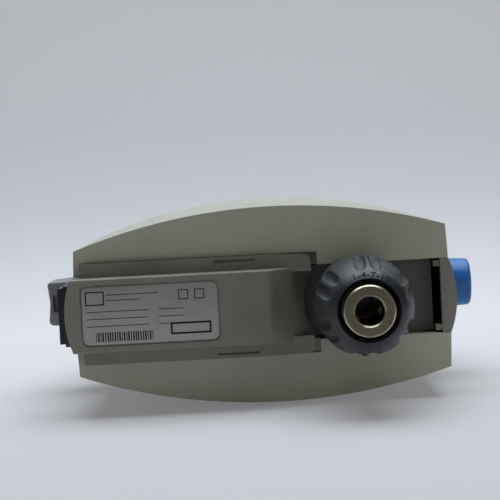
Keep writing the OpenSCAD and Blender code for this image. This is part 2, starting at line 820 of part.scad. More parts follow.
module pulley(r, shaft_r, hub, web_holes) {
    difference() {
        rotate_extrude() difference() {
            translate([shaft_r + fit_gap, 0]) square([r + 1 - shaft_r - fit_gap, pulley_w]);
            translate([r, 1.5]) square([2, pulley_w - 3]);
            for (k = [0 : rib_n - 1])
                translate([r - rib_depth, belt_z - pulley_z + rib_z(k) - belt_gap / 2])
                    square([rib_depth + 1, rib_w + belt_gap]);
            if (web_holes > 0) translate([hub, 5]) square([r - rib_depth - 2.4 - hub, pulley_w]);
        }
        if (web_holes > 0) for (k = [0 : web_holes - 1]) rotate([0, 0, k * 360 / web_holes])
            translate([(hub + r - rib_depth - 2.4) / 2, 0, -1]) cylinder(r = 3, h = pulley_w);
    }
}
function rib_z(k) = (k + 0.64) * rib_pitch - rib_w / 2;

module motor_pulley() {
    color([0.62, 0.63, 0.65]) at_motor(pulley_z) pulley(small_pulley_r, motor_shaft_r, 0, 0);
}

module spindle_pulley() {
    color([0.62, 0.63, 0.65]) at_spindle(pulley_z) pulley(large_pulley_r, spindle_r, spindle_r + 5, 6);
}

// The area inside a loop that runs round both pulleys, t outside their rims
module loop(t) {
    hull() {
        translate([0, motor_y]) circle(small_pulley_r + t, $fn = 64);
        translate([0, spindle_y]) circle(large_pulley_r + t, $fn = 96);
    }
}

module drive_belt() {
    color([0.08, 0.08, 0.08]) {
        translate([0, 0, belt_z]) linear_extrude(belt_w) difference() {
            loop(belt_gap + belt_t);
            loop(belt_gap);
        }
        for (k = [0 : rib_n - 1]) translate([0, 0, belt_z + rib_z(k)]) linear_extrude(rib_w) difference() {
            loop(belt_gap + belt_t / 2);
            loop(belt_gap - rib_depth);
        }
    }
}

module spindle_shaft() {
    shoulder_z = nose_z + chuck_len + fit_gap;
    color([0.72, 0.73, 0.74]) difference() {
        union() {
            at_spindle(shoulder_z) cylinder(r = spindle_r, h = shaft_top_z - shoulder_z);
            at_spindle(nose_z + thread_from + 0.3)
                cylinder(r = thread_r - fit_gap, h = shoulder_z - nose_z - thread_from);
        }
        at_spindle(nose_z + thread_from) cylinder(r = chuck_screw_r + fit_gap, h = 13);
        at_spindle(pulley_z + pulley_w + 0.2) ring(spindle_r + 1, spindle_r - 0.6, 1.2);
    }
}

module spindle_circlip() {
    color([0.35, 0.35, 0.36]) at_spindle(pulley_z + pulley_w + 0.3) difference() {
        ring(spindle_r + 2, spindle_r - 0.5, 1);
        box([0, far], [-2, 2], [-1, 3]);
    }
}

module spindle_seal() {
    color([0.12, 0.12, 0.12]) at_spindle(frame_z + 0.4) ring(lip_r - fit_gap, spindle_r + 0.08, 3.4);
}

module speed_magnet() {
    color([0.3, 0.3, 0.33]) at_spindle(pulley_z - 3.1) ring(spindle_r + 5, spindle_r + fit_gap, 3);
}

module speed_sensor() {
    x = spindle_r + 6;
    color([0.1, 0.35, 0.2]) at_spindle(bridge_z + bridge_t + fit_gap) {
        box([x + 3.6, x + 9], [-5, 5], [0, 1.2]);
        box([x, x + 5], [-2, 2], [0.6, 3.6]);
    }
}

// ---------------------------------------------------------------- chuck

// The line along which a jaw slides, starting where it crosses the chuck's axis
module jaw_line(k) {
    at_spindle(nose_z) rotate([0, 0, jaw_phase + k * 120]) translate([0, 0, jaw_cross])
        rotate([0, jaw_tilt, 0]) children();
}

module chuck_body() {
    color([0.68, 0.66, 0.6]) difference() {
        at_spindle(nose_z) rotate_extrude($fn = 96) difference() {
            polygon([
                [0, 0], [nose_r - 0.5, 0], [nose_r, 0.5], [nose_r, nose_len], [chuck_r, nose_len],
                [chuck_r, nut_from - run_gap], [nut_r - 0.6, nut_from - run_gap],
                [nut_r - 0.6, nut_from + nut_len + run_gap], [chuck_r, nut_from + nut_len + run_gap],
                [chuck_r, chuck_len], [0, chuck_len]
            ]);
            polygon([[-1, -1], [bore_r + 0.7, -1], [bore_r + 0.7, 0], [bore_r, 0.7], [-1, 0.7]]);
            translate([-1, -1]) square([bore_r + 1, bore_len + 1]);
            translate([-1, bore_len - 0.1]) square([relief_r + 1, 36.1 - bore_len]);
            translate([-1, thread_from]) square([thread_r + 1, chuck_len]);
            translate([-1, 30]) square([chuck_screw_r + 1.3, 20]);
        }
        for (k = [0 : 2]) jaw_line(k) translate([0, 0, 2])
            cylinder(r = jaw_r + run_gap, h = (jaw_tip - jaw_cross) / cos(jaw_tilt) + jaw_len + 1.5);
    }
}

module jaw(k) {
    tan60 = tan(60);
    reach = 3 * chuck_r;
    apex = open_r - jaw_flat;
    color([0.7, 0.68, 0.63]) intersection() {
        jaw_line(k) translate([0, 0, (jaw_tip - jaw_cross) / cos(jaw_tilt) - 1])
            cylinder(r = jaw_r, h = jaw_len + 1);
        at_spindle(nose_z + jaw_tip) rotate([0, 0, jaw_phase + k * 120]) linear_extrude(chuck_len)
            polygon([
                [open_r, -jaw_flat * tan60], [reach, (apex - reach) * tan60],
                [reach, (reach - apex) * tan60], [open_r, jaw_flat * tan60]
            ]);
    }
}
module jaw_1() { jaw(0); }
module jaw_2() { jaw(1); }
module jaw_3() { jaw(2); }

// Radius and height of the sleeve's dome at an angle from the mouth (0) to the widest point (90)
function dome(t) = [
    sleeve_mouth_r + 0.6 + (sleeve_r - sleeve_mouth_r - 0.6) * sin(t),
    dome_to - (dome_to - sleeve_front) * cos(t)
];

module chuck_sleeve() {
    slope = 33;
    place = dome(52);
    color([0.2, 0.21, 0.23]) difference() {
        at_spindle(nose_z) rotate_extrude($fn = 96) difference() {
            polygon(concat(
                [[sleeve_mouth_r, sleeve_front]], [for (t = [0 : 9 : 90]) dome(t)],
                [[sleeve_r, sleeve_back - 4], [sleeve_r - 0.6, sleeve_back], [chuck_r + run_gap, sleeve_back],
                 [chuck_r + run_gap, nose_len - run_gap], [sleeve_mouth_r, nose_len - run_gap]]
            ));
            translate([0, nut_from - run_gap]) square([nut_outer_r + fit_gap, nut_len + 2 * run_gap]);
        }
        at_spindle(nose_z) for (k = [0 : dimple_pairs - 1]) for (s = [-1, 1])
            rotate([0, 0, k * 360 / dimple_pairs + s * dimple_gap_deg / 2]) translate([place[0], 0, place[1]])
                rotate([0, slope, 0]) translate([dimple_r - 1, 0, 0])
                    cylinder(r = dimple_r, h = dimple_len, center = true);
    }
}

module chuck_nut() {
    color([0.6, 0.6, 0.58]) at_spindle(nose_z + nut_from) ring(nut_outer_r, nut_r, nut_len);
}

module chuck_collar() {
    low = sleeve_back + 0.4;
    color([0.14, 0.15, 0.16]) at_spindle(nose_z) rotate_extrude($fn = 96) polygon([
        [chuck_r + fit_gap, low], [collar_r - 0.4, low], [collar_r, low + 0.6], [collar_r, chuck_drop - 4],
        [collar_r - 1.6, chuck_drop - 0.6], [chuck_r + fit_gap, chuck_drop - 0.6]
    ]);
}

module chuck_screw() {
    color([0.3, 0.3, 0.31]) at_spindle(nose_z + 36) {
        difference() {
            translate([0, 0, -3]) cylinder(r = 4.4, h = 3 - fit_gap);
            translate([0, 0, -3.5]) cylinder(r = 2, h = 2.3, $fn = 6);
        }
        translate([0, 0, -1]) cylinder(r = chuck_screw_r, h = 14);
    }
}

// ---------------------------------------------------------------- controls

module speed_knob() {
    edge = 1.4;
    color([0.16, 0.36, 0.62]) translate([0, knob_y, knob_z]) rotate([90, 0, 0]) difference() {
        rotate_extrude($fn = 96) polygon(concat(
            [[0, 0], [knob_r, 0], [knob_r, 1], [knob_r - 0.5, knob_len - edge - 1.2]],
            [for (t = [0 : 15 : 90]) [knob_r - 0.5 - edge + edge * cos(t), knob_len - edge - 1.2 + edge * sin(t)]],
            [[knob_r / 2, knob_len - 0.3], [0, knob_len]]
        ));
        translate([0, 0, -1]) cylinder(r = 7, h = 4.2);
        translate([0, 0, -1]) cylinder(r = encoder_shaft_r + fit_gap, h = knob_len - 3);
    }
}

module encoder_shaft() {
    inner = encoder_y - knob_y + 1;
    color([0.7, 0.71, 0.72]) translate([0, knob_y + inner, knob_z]) rotate([90, 0, 0])
        cylinder(r = encoder_shaft_r - 0.6, h = inner + 1.6);
    color([0.7, 0.71, 0.72]) translate([0, knob_y - 1.5, knob_z]) rotate([90, 0, 0])
        cylinder(r = encoder_shaft_r, h = knob_len - 6);
}

module encoder_body() {
    shaft_hole = encoder_shaft_r - 0.6 + run_gap;
    color([0.3, 0.32, 0.33]) difference() {
        union() {
            box([-encoder_w / 2, encoder_w / 2], [encoder_y, encoder_y + encoder_t],
                [knob_z - encoder_w / 2, knob_z + encoder_w / 2]);
            translate([0, encoder_y + 1, knob_z]) rotate([90, 0, 0])
                cylinder(r = bush_r, h = encoder_y + 1 - knob_y + 0.8);
            // hexagon nut that clamps the bush to the panel
            translate([0, spine_front_y - 0.05, knob_z]) rotate([90, 0, 0]) cylinder(r = 6, h = 1.8, $fn = 6);
        }
        translate([0, encoder_y + 3, knob_z]) rotate([90, 0, 0]) cylinder(r = shaft_hole, h = far);
    }
}

module display_module() {
    color([0.12, 0.12, 0.13]) box([-window_w / 2 + 0.8, window_w / 2 - 0.8],
        [display_back_y - display_t, display_back_y - fit_gap], [window_z - window_h / 2 - 1, window_z + window_h / 2 + 1]);
}

module display_board() {
    color([0.1, 0.35, 0.2]) box([-window_w / 2 - 1, window_w / 2 + 1],
        [display_back_y + fit_gap, display_back_y + board_t], [window_z - window_h / 2 - 10, window_z + window_h / 2 + 10]);
}

// ---------------------------------------------------------------- power entry

module socket_plan(g) {
    w = socket_w / 2 + g;
    h = socket_h / 2 + g;
    polygon([[-w, -h], [w - 4, -h], [w, 4 - h], [w, h - 4], [w - 4, h], [-w, h]]);
}

module inlet_housing() {
    back = flange_face_y - inlet_flange_t;
    color([0.06, 0.06, 0.07]) difference() {
        union() {
            box([-inlet_w / 2, inlet_w / 2], [back, flange_face_y], [inlet_z, inlet_z + inlet_h]);
            box([-inlet_body_w / 2, inlet_body_w / 2], [inlet_back_y, back + 0.1],
                [inlet_z + 1.2, inlet_z + inlet_h - 1.2]);
        }
        translate([0, flange_face_y + 1, socket_z]) rotate([90, 0, 0]) linear_extrude(socket_depth + 1) socket_plan(0);
        box([-drawer_w / 2 - run_gap, drawer_w / 2 + run_gap], [flange_face_y - drawer_depth - 0.6, far],
            [drawer_z - drawer_h / 2 - run_gap, drawer_z + drawer_h / 2 + run_gap]);
        box([-rocker_w / 2 - 2 * run_gap, rocker_w / 2 + 2 * run_gap], [flange_face_y - 9, far],
            [rocker_z - rocker_h / 2 - 2.4 * run_gap, rocker_z + rocker_h / 2 + 2.4 * run_gap]);
        for (p = pin_spots()) translate([p[0], 0, p[1]]) box([-1 - fit_gap, 1 + fit_gap], [inlet_back_y - 1, back],
            [-2 - fit_gap, 2 + fit_gap]);
    }
}
function pin_spots() = [[2, socket_z], [-2.5, socket_z - pin_pitch], [-2.5, socket_z + pin_pitch]];

module inlet_pins() {
    tip = flange_face_y - socket_depth + pin_len;
    color([0.75, 0.72, 0.6]) for (p = pin_spots()) translate([p[0], 0, p[1]])
        box([-1, 1], [inlet_back_y - 3, tip], [-2, 2]);
}

module fuse_drawer() {
    color([0.08, 0.08, 0.09]) difference() {
        union() {
            box([-drawer_w / 2, drawer_w / 2], [flange_face_y - 2, flange_face_y + 0.6],
                [drawer_z - drawer_h / 2, drawer_z + drawer_h / 2]);
            box([-drawer_w / 2 + 0.5, drawer_w / 2 - 0.5], [flange_face_y - drawer_depth, flange_face_y - 1.9],
                [drawer_z - drawer_h / 2 + 0.5, drawer_z + drawer_h / 2 - 0.5]);
        }
        for (s = [-1, 1]) translate([s * fuse_x, flange_face_y - drawer_depth + 1, drawer_z]) rotate([-90, 0, 0])
            cylinder(r = fuse_r + fit_gap, h = fuse_len + 2 * fit_gap);
        box([-drawer_w / 2 + 1.6, drawer_w / 2 - 1.6], [flange_face_y - drawer_depth + 1, flange_face_y - 3],
            [drawer_z, drawer_z + drawer_h]);
        // finger notch
        box([-3, 3], [flange_face_y - 1, flange_face_y + 1], [drawer_z + drawer_h / 2 - 2, far]);
    }
}

module fuses() {
    y0 = flange_face_y - drawer_depth + 1 + fit_gap;
    color([0.8, 0.82, 0.8]) for (s = [-1, 1]) translate([s * fuse_x, y0, drawer_z]) rotate([-90, 0, 0])
        cylinder(r = fuse_r, h = fuse_len - fit_gap);
}

module power_rocker() {
    pivot_y = flange_face_y - 5.2;
    half = rocker_h / 2 - 0.3;
    color([0.1, 0.1, 0.11]) translate([0, pivot_y, rocker_z]) rotate([rocker_tilt, 0, 0])
        along_x(-rocker_w / 2, rocker_w / 2) intersection() {
            circle(rocker_r);
            polygon([[-2.4, -half + 1.2], [3.6, -half], [6.2, -half], [5.2, 0], [6.2, half], [3.6, half], [-2.4, half - 1.2]]);
        }
}

// ---------------------------------------------------------------- boards and wires

function power_board_holes() = [for (s = [-1, 1]) for (y = [board_hole_inset, power_board_len - board_hole_inset])
    [s * (power_board_w / 2 - board_hole_inset), power_board_y - y]];

module power_board() {
    color([0.12, 0.36, 0.2]) difference() {
        box([-power_board_w / 2, power_board_w / 2], [power_board_y - power_board_len, power_board_y],
            [power_board_z + fit_gap, power_board_z + board_t]);
        for (p = power_board_holes()) translate([p[0], p[1], 0]) cylinder(r = board_screw_r + 0.2, h = 4 * far, center = true);
    }
}

module power_components() {
    top = power_board_z + board_t + fit_gap;
    room = frame_z - 1.2 - top;
    y0 = power_board_y - power_board_len;
    color([0.2, 0.22, 0.3]) {
        // transformer, bulk capacitor lying on its side, common-mode choke and terminal block
        box([-6.5, 6.5], [y0 + 8, y0 + 22], [top, top + room]);
        translate([0, y0 + 25, top + 4.6]) rotate([-90, 0, 0]) cylinder(r = 4.6, h = 16);
        box([-7, 7], [power_board_y - 14, power_board_y - 10], [top, top + 6]);
        box([8, 10.4], [y0 + 9, y0 + 36], [top, top + 8]);
    }
}

module control_board() {
    color([0.12, 0.36, 0.2]) box([-control_x - board_t + fit_gap, -control_x],
        [motor_y - control_len / 2, motor_y + control_len / 2], [control_z, control_z + control_h]);
}

module control_components() {
    x = -control_x - board_t;
    color([0.1, 0.1, 0.12]) {
        for (k = [0 : 2]) box([x - 1.6, x], [motor_y - 16 + k * 12, motor_y - 8 + k * 12], [control_z + 8, control_z + 14]);
        box([x - 1.4, x], [motor_y - 6, motor_y + 6], [control_z + 24, control_z + 36]);
        box([x - 2.6, x], [motor_y - 8, motor_y + 8], [control_z + 44, control_z + 50]);
    }
}

module mains_leads() {
    end_z = power_board_z + board_t + 3;
    color([0.5, 0.3, 0.15]) for (k = [0 : 2]) let (
        p = pin_spots()[k], x = 4.2 - 4.2 * k, drop = p[1] - end_z, r = min(2.7, drop / 2 - 0.05), lead_in = 3.6 - r,
        track = concat([[0, 0]], [for (a = [0 : 18 : 90]) [lead_in + r * sin(a), r * (1 - cos(a))]],
            [for (a = [0 : 18 : 90]) [lead_in + 2 * r - r * cos(a), drop - r * (1 - sin(a))]], [[7.2, drop]]))
        wire([for (q = track) [p[0] + (x - p[0]) * q[1] / drop, inlet_back_y - 3.4 - q[0], p[1] - q[1]]], 0.8);
}

module motor_leads() {
    color([0.6, 0.12, 0.1]) for (k = [-1 : 1]) let (y = motor_y + k * 4)
        wire(smooth_path([
            [-motor_r - 1.2, y, motor_z + bell_t + 5], [-motor_r - 1.4, y, motor_z + bell_t + 8],
            [-control_x + 1, y, control_z - 3], [-control_x - board_t / 2, y, control_z - 0.45]
        ], 4), 0.9);
}

module shell_screws() {
    color([0.35, 0.35, 0.36]) for (p = screw_spots) let (x = side_x(p[0], p[1]) - screw_sink + fit_gap)
        translate([x, p[0], p[1]]) rotate([0, 90, 0]) screw_z(screw_head_r, screw_head_t, screw_r, x + screw_grip);
}

module board_screws() {
    color([0.7, 0.7, 0.7]) {
        for (p = power_board_holes()) translate([p[0], p[1], power_board_z + board_t + fit_gap])
            screw_z(2.2, 1.4, board_screw_r, board_t + 2);
        for (s = [-1, 1]) for (t = [-1, 1])
            translate([fit_gap - control_x, motor_y + s * (control_len / 2 - board_hole_inset),
                       control_z + control_h / 2 + t * (control_h / 2 - board_hole_inset)])
                rotate([0, 90, 0]) cylinder(r = 2.2, h = 1.2);
    }
}

module left_shell() { color([0.72, 0.72, 0.66]) shell(-1); }
module right_shell() { color([0.72, 0.72, 0.66]) shell(1); }

// ---------------------------------------------------------------- the nodes

left_shell();
right_shell();
front_panel();
top_cover();
rear_panel();
lower_cover();
rating_plate();
main_frame();
frame_posts();
rod_holder();
rod_clamp_screw();
rod_holder_screws();
motor_housing();
motor_lower_bell();
motor_upper_bell();
stator_core();
stator_coils();
motor_screws();
bearing_outer_rings();
bearing_balls();
spindle_inner_rings();
motor_inner_rings();
motor_shaft();
rotor_core();
rotor_magnets();
motor_pulley();
drive_belt();
spindle_shaft();
spindle_pulley();
spindle_seal();
spindle_circlip();
speed_magnet();
speed_sensor();
chuck_body();
chuck_sleeve();
chuck_nut();
chuck_collar();
chuck_screw();
jaw_1();
jaw_2();
jaw_3();
speed_knob();
encoder_shaft();
encoder_body();
display_window();
display_module();
display_board();
inlet_housing();
inlet_pins();
fuse_drawer();
fuses();
power_rocker();
power_board();
power_components();
control_board();
control_components();
mains_leads();
motor_leads();
shell_screws();
board_screws();
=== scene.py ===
"""Looks of a compact overhead stirrer head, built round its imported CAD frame.

Every length is in metres in the row frame: +Z up in use, -Y the front with the speed knob, and the
origin at the mouth of the support-rod bore.
"""

import json
import logging
import math
from dataclasses import dataclass
from enum import Enum
from typing import Optional, Sequence

import bmesh
import bpy
import numpy as np
from mathutils import Matrix, Vector


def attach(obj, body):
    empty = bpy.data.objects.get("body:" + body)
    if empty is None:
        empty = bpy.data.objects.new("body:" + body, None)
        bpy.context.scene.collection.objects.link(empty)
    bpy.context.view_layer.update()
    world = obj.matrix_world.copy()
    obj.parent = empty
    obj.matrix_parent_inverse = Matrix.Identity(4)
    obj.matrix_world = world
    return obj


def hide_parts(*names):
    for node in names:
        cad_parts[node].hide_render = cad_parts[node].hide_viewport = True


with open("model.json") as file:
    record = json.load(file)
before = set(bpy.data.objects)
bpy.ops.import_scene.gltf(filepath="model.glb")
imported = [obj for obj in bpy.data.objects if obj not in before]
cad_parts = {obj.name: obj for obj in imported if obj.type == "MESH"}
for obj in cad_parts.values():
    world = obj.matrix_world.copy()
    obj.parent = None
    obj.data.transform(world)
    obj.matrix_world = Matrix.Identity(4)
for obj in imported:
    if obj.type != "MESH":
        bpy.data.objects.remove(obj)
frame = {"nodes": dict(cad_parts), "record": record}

LOG = logging.getLogger("stirrer")
MM = 0.001
TINY = 1e-9
SMOOTH_DEG = 35.0
CARVED_SMOOTH_DEG = 32.0
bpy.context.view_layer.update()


# ----------------------------------------------------------------------------- shape arithmetic


def rectangle(x0: float, x1: float, y0: float, y1: float) -> np.ndarray:
    """The four corners of an upright rectangle, counter-clockwise from (x0, y0)."""
    return np.array([[x0, y0], [x1, y0], [x1, y1], [x0, y1]])


def rounded_loop(corners: np.ndarray, radii: np.ndarray, steps: int = 6) -> np.ndarray:
    """Rounds each corner of a closed polygon with an arc.

    At corner c with unit directions a and b to its neighbours, the arc of radius r has its centre on
    the bisector, r / sin(half angle) away, and runs from c + a r / tan(half) to c + b r / tan(half).

    Args:
        corners: (n, 2) corners in order.
        radii: (n,) radius at each corner, where zero keeps it sharp.
        steps: segments of each arc.

    Returns:
        (n * (steps + 1), 2) points in the same order, with one point at each sharp corner.
    """
    to_last = np.roll(corners, 1, axis=0) - corners
    to_next = np.roll(corners, -1, axis=0) - corners
    a = to_last / np.linalg.norm(to_last, axis=1, keepdims=True)
    b = to_next / np.linalg.norm(to_next, axis=1, keepdims=True)
    half = np.arccos(np.clip((a * b).sum(1), -1, 1)) / 2
    half = np.clip(half, 1e-3, np.pi / 2 - 1e-4)
    bisector = a + b
    bisector /= np.maximum(np.linalg.norm(bisector, axis=1, keepdims=True), TINY)
    centre = corners + bisector * (radii / np.sin(half))[:, None]
    start = corners + a * (radii / np.tan(half))[:, None] - centre
    stop = corners + b * (radii / np.tan(half))[:, None] - centre
    sweep = (np.pi - 2 * half)[:, None, None]
    t = np.linspace(0, 1, steps + 1)[None, :, None]
    arc = (np.sin((1 - t) * sweep) * start[:, None] + np.sin(t * sweep) * stop[:, None]) / np.sin(sweep)
    round_ones = radii[:, None] > 0
    points = np.where(round_ones, centre, corners)[:, None] + np.where(round_ones[..., None], arc, 0 * arc)
    return points[round_ones | (np.arange(steps + 1)[None, :] == 0)]


def inset_loop(loop: np.ndarray, distance: float) -> np.ndarray:
    """Moves a counter-clockwise loop inward along its mitred normals.

    With n and m the inward normals of the edges before and after a point, the point moves by
    (n + m) / (1 + n . m) times the distance. A point that is doubled takes its neighbour's edge.

    Args:
        loop: (n, 2) points in order.
        distance: how far each edge moves inward.

    Returns:
        (n, 2) points.
    """
    if abs(distance) < 1e-12:
        return loop.copy()
    longest_run, sharpest = 12, 0.35
    ahead = np.roll(loop, -1, axis=0) - loop
    length = np.linalg.norm(ahead, axis=1)
    ahead[length < TINY] = 0
    after = ahead / np.maximum(length, TINY)[:, None]
    before = np.roll(after, 1, axis=0)
    for _ in range(longest_run):
        after = np.where((np.abs(after).sum(1) < 0.5)[:, None], np.roll(after, -1, axis=0), after)
        before = np.where((np.abs(before).sum(1) < 0.5)[:, None], np.roll(before, 1, axis=0), before)
    normal_a = np.stack([-after[:, 1], after[:, 0]], 1)
    normal_b = np.stack([-before[:, 1], before[:, 0]], 1)
    mitre = normal_a + normal_b
    mitre /= np.maximum((mitre * normal_a).sum(1, keepdims=True), sharpest)
    return loop + mitre * distance


def arc_profile(start: float, stop: float, radius: float, centre: Sequence[float], steps: int) -> np.ndarray:
    """Points of a circular arc between two angles in degrees round a centre."""
    t = np.radians(np.linspace(start, stop, steps + 1))
    return np.stack([centre[0] + radius * np.cos(t), centre[1] + radius * np.sin(t)], 1)


def across(axis: int) -> tuple[int, int]:
    """The two axes that lie across an axis, in turning order."""
    return [(1, 2), (2, 0), (0, 1)][axis]


def revolve(profile: np.ndarray, centre: Sequence[float], steps: int = 128, axis: int = 2) -> np.ndarray:
    """Turns a profile round an axis through a centre.

    Point (i, j) is centre + r_i (cos t_j, sin t_j) across the axis + h_i along it.

    Args:
        profile: (n, 2) radius and height of each point.
        centre: a point on the axis.
        steps: columns round the turn.
        axis: 0, 1 or 2 for x, y or z.

    Returns:
        (n, steps, 3) grid.
    """
    t = np.linspace(0, 2 * np.pi, steps, endpoint=False)
    r, h = profile[:, 0][:, None], profile[:, 1][:, None]
    out = np.zeros((len(profile), steps, 3))
    first, second = across(axis)
    out[..., first] = r * np.cos(t)
    out[..., second] = r * np.sin(t)
    out[..., axis] = h
    return out + np.asarray(centre, float)


def stacked(loops: Sequence[np.ndarray], heights: Sequence[float], axis: int = 2) -> np.ndarray:
    """Stacks plane loops along an axis.

    Args:
        loops: (n, 2) loops of one length.
        heights: the place of each along the axis.
        axis: 0, 1 or 2 for x, y or z.

    Returns:
        (rows, n, 3) grid.
    """
    first, second = across(axis)
    out = np.zeros((len(loops), len(loops[0]), 3))
    out[..., first] = np.stack(loops)[..., 0]
    out[..., second] = np.stack(loops)[..., 1]
    out[..., axis] = np.asarray(heights)[:, None]
    return out


def softened_block(loop: np.ndarray, low: float, high: float, low_r: float, high_r: float,
                   steps: int = 5) -> np.ndarray:
    """A prism on a loop whose end edges are rounded.

    Near an end of radius r the loop is inset by r (1 - sin t) at a depth of r (1 - cos t).

    Args:
        loop: (n, 2) outline across x and y.
        low: z of the lower end.
        high: z of the upper end.
        low_r: rounding of the lower end.
        high_r: rounding of the upper end.
        steps: segments of each rounding.

    Returns:
        (2 * (steps + 1), n, 3) grid.
    """
    t = np.linspace(0, np.pi / 2, steps + 1)
    loops = [inset_loop(loop, low_r * (1 - math.sin(angle))) for angle in t]
    loops += [inset_loop(loop, high_r * (1 - math.sin(angle))) for angle in t[::-1]]
    heights = [low + low_r * (1 - math.cos(angle)) for angle in t]
    heights += [high - high_r * (1 - math.cos(angle)) for angle in t[::-1]]
    return stacked(loops, heights)


class Skin:
    """Vertices and faces gathered from grids and caps, ready to become one mesh."""

    def __init__(self) -> None:
        """Starts empty."""
        self.points: list[np.ndarray] = []
        self.faces: list[tuple[int, ...]] = []
        self.count = 0

    def grid(self, points: np.ndarray, around: bool = True, capped: bool = False) -> "Skin":
        """Adds a grid of points as quads.

        Args:
            points: (rows, columns, 3) array.
            around: joins the last column to the first.
            capped: closes the first and the last row with one polygon each.

        Returns:
            This skin.
        """
        rows, cols = points.shape[:2]
        index = self.count + np.arange(rows * cols).reshape(rows, cols)
        right = np.roll(index, -1, axis=1)
        span = cols if around else cols - 1
        quads = np.stack([index[:-1], right[:-1], right[1:], index[1:]], -1)[:, :span].reshape(-1, 4)
        self.faces += [tuple(q) for q in quads.tolist()]
        if capped:
            self.faces += [tuple(index[0, ::-1].tolist()), tuple(index[-1].tolist())]
        self.points.append(points.reshape(-1, 3))
        self.count += rows * cols
        return self

    def prism(self, loop: np.ndarray, low: float, high: float) -> "Skin":
        """Adds a straight closed prism on a loop across x and y."""
        return self.grid(stacked([loop, loop], [low, high]), capped=True)

    def piece(self, name: str, smooth_deg: float = SMOOTH_DEG, weld: float = 2e-6) -> bpy.types.Object:
        """Makes a piece of what was gathered.

        Args:
            name: the name of the piece and its mesh.
            smooth_deg: edges that turn by more degrees stay sharp.
            weld: distance below which points become one.

        Returns:
            The piece.
        """
        return put(name, self.mesh(name, weld), smooth_deg)

    def mesh(self, name: str, weld: float = 2e-6) -> bpy.types.Mesh:
        """Makes a mesh of what was gathered, welds doubles and turns every face outwards.

        Args:
            name: the mesh's name.
            weld: distance below which points become one.

        Returns:
            The mesh.
        """
        made = bpy.data.meshes.new(name)
        made.from_pydata(np.concatenate(self.points).tolist(), [], self.faces)
        work = bmesh.new()
        work.from_mesh(made)
        bmesh.ops.remove_doubles(work, verts=work.verts, dist=weld)
        bmesh.ops.dissolve_degenerate(work, edges=work.edges, dist=weld / 2)
        bmesh.ops.recalc_face_normals(work, faces=work.faces)
        work.to_mesh(made)
        work.free()
        return made


# ----------------------------------------------------------------------------- shader groups


class Tree:
    """Short calls for building a node tree."""

    def __init__(self, nodes: bpy.types.NodeTree) -> None:
        """Wraps a node tree."""
        self.tree = nodes

    def feed(self, made: bpy.types.Node, values: dict) -> None:
        """Feeds a node's inputs.

        Args:
            made: the node.
            values: socket name or index to a value or another node's output.
        """
        for key, value in values.items():
            if isinstance(value, bpy.types.NodeSocket):
                self.tree.links.new(value, made.inputs[key])
            else:
                made.inputs[key].default_value = value

    def node(self, kind: str, inputs: Optional[dict] = None, **settings: object) -> bpy.types.Node:
        """Adds a node, sets its properties and feeds its inputs.

        Args:
            kind: the node's type name.
            inputs: socket name or index to a value or another node's output.
            **settings: properties of the node.

        Returns:
            The node.
        """
        made = self.tree.nodes.new(kind)
        for key, value in settings.items():
            setattr(made, key, value)
        self.feed(made, inputs or {})
        return made

    def math(self, operation: str, a: object, b: object = 0.0) -> bpy.types.NodeSocket:
        """The result of a Math node on one or two values."""
        return self.node("ShaderNodeMath", {0: a, 1: b}, operation=operation).outputs[0]

    def ramp(self, value: object, low: float, high: float, to_low: float = 0.0,
             to_high: float = 1.0) -> bpy.types.NodeSocket:
        """A value remapped smoothly from one range to another.

        Args:
            value: the value.
            low: start of its range.
            high: end of its range.
            to_low: the result at the start.
            to_high: the result at the end.

        Returns:
            The result.
        """
        made = self.node("ShaderNodeMapRange", {0: value, 1: low, 2: high, 3: to_low, 4: to_high})
        made.interpolation_type = "SMOOTHSTEP"
        return made.outputs[0]

    def ramp_linear(self, value: object, low: float, high: float) -> bpy.types.NodeSocket:
        """A value remapped in a straight line to 0..1."""
        return self.node("ShaderNodeMapRange", {0: value, 1: low, 2: high, 3: 0.0, 4: 1.0}).outputs[0]

    def mix(self, factor: object, a: object, b: object, blend: str = "MIX") -> bpy.types.NodeSocket:
        """Two colours mixed, or blended in another way."""
        inputs = {0: factor, 6: a, 7: b}
        return self.node("ShaderNodeMix", inputs, data_type="RGBA", blend_type=blend).outputs[2]

    def place(self) -> bpy.types.NodeSocket:
        """The Object coordinates."""
        return self.node("ShaderNodeTexCoord").outputs["Object"]

    def noise(self, at: object, scale: object, **inputs: object) -> bpy.types.NodeSocket:
        """A noise on coordinates, with any other inputs of its node."""
        return self.node("ShaderNodeTexNoise", {"Vector": at, "Scale": scale, **inputs}).outputs[0]

    def round_axis(self, at: object, centre: object) -> tuple[bpy.types.NodeSocket, bpy.types.NodeSocket]:
        """Distance from an upright axis, sqrt(x^2 + y^2) about the centre, and height above the centre.

        Args:
            at: the coordinates.
            centre: a point on the axis.

        Returns:
            The distance and the height.
        """
        local = self.node("ShaderNodeVectorMath", {0: at, 1: centre}, operation="SUBTRACT")
        x, y, z = self.node("ShaderNodeSeparateXYZ", {0: local.outputs[0]}).outputs
        square = self.math("ADD", self.math("MULTIPLY", x, x), self.math("MULTIPLY", y, y))
        return self.math("SQRT", square), z


def new_group(name: str, inputs: dict[str, tuple[str, object]],
              outputs: Sequence[str]) -> tuple[Tree, bpy.types.Node, bpy.types.Node]:
    """Makes an empty shader group.

    Args:
        name: its name.
        inputs: socket name to (kind, default).
        outputs: names of its value outputs.

    Returns:
        The tree, the group's input node and its output node.
    """
    group = bpy.data.node_groups.new(name, "ShaderNodeTree")
    for key, (kind, default) in inputs.items():
        socket = group.interface.new_socket(key, in_out="INPUT", socket_type=kind)
        socket.default_value = default
    for key in outputs:
        group.interface.new_socket(key, in_out="OUTPUT", socket_type="NodeSocketFloat")
    tree = Tree(group)
    return tree, tree.node("NodeGroupInput"), tree.node("NodeGroupOutput")


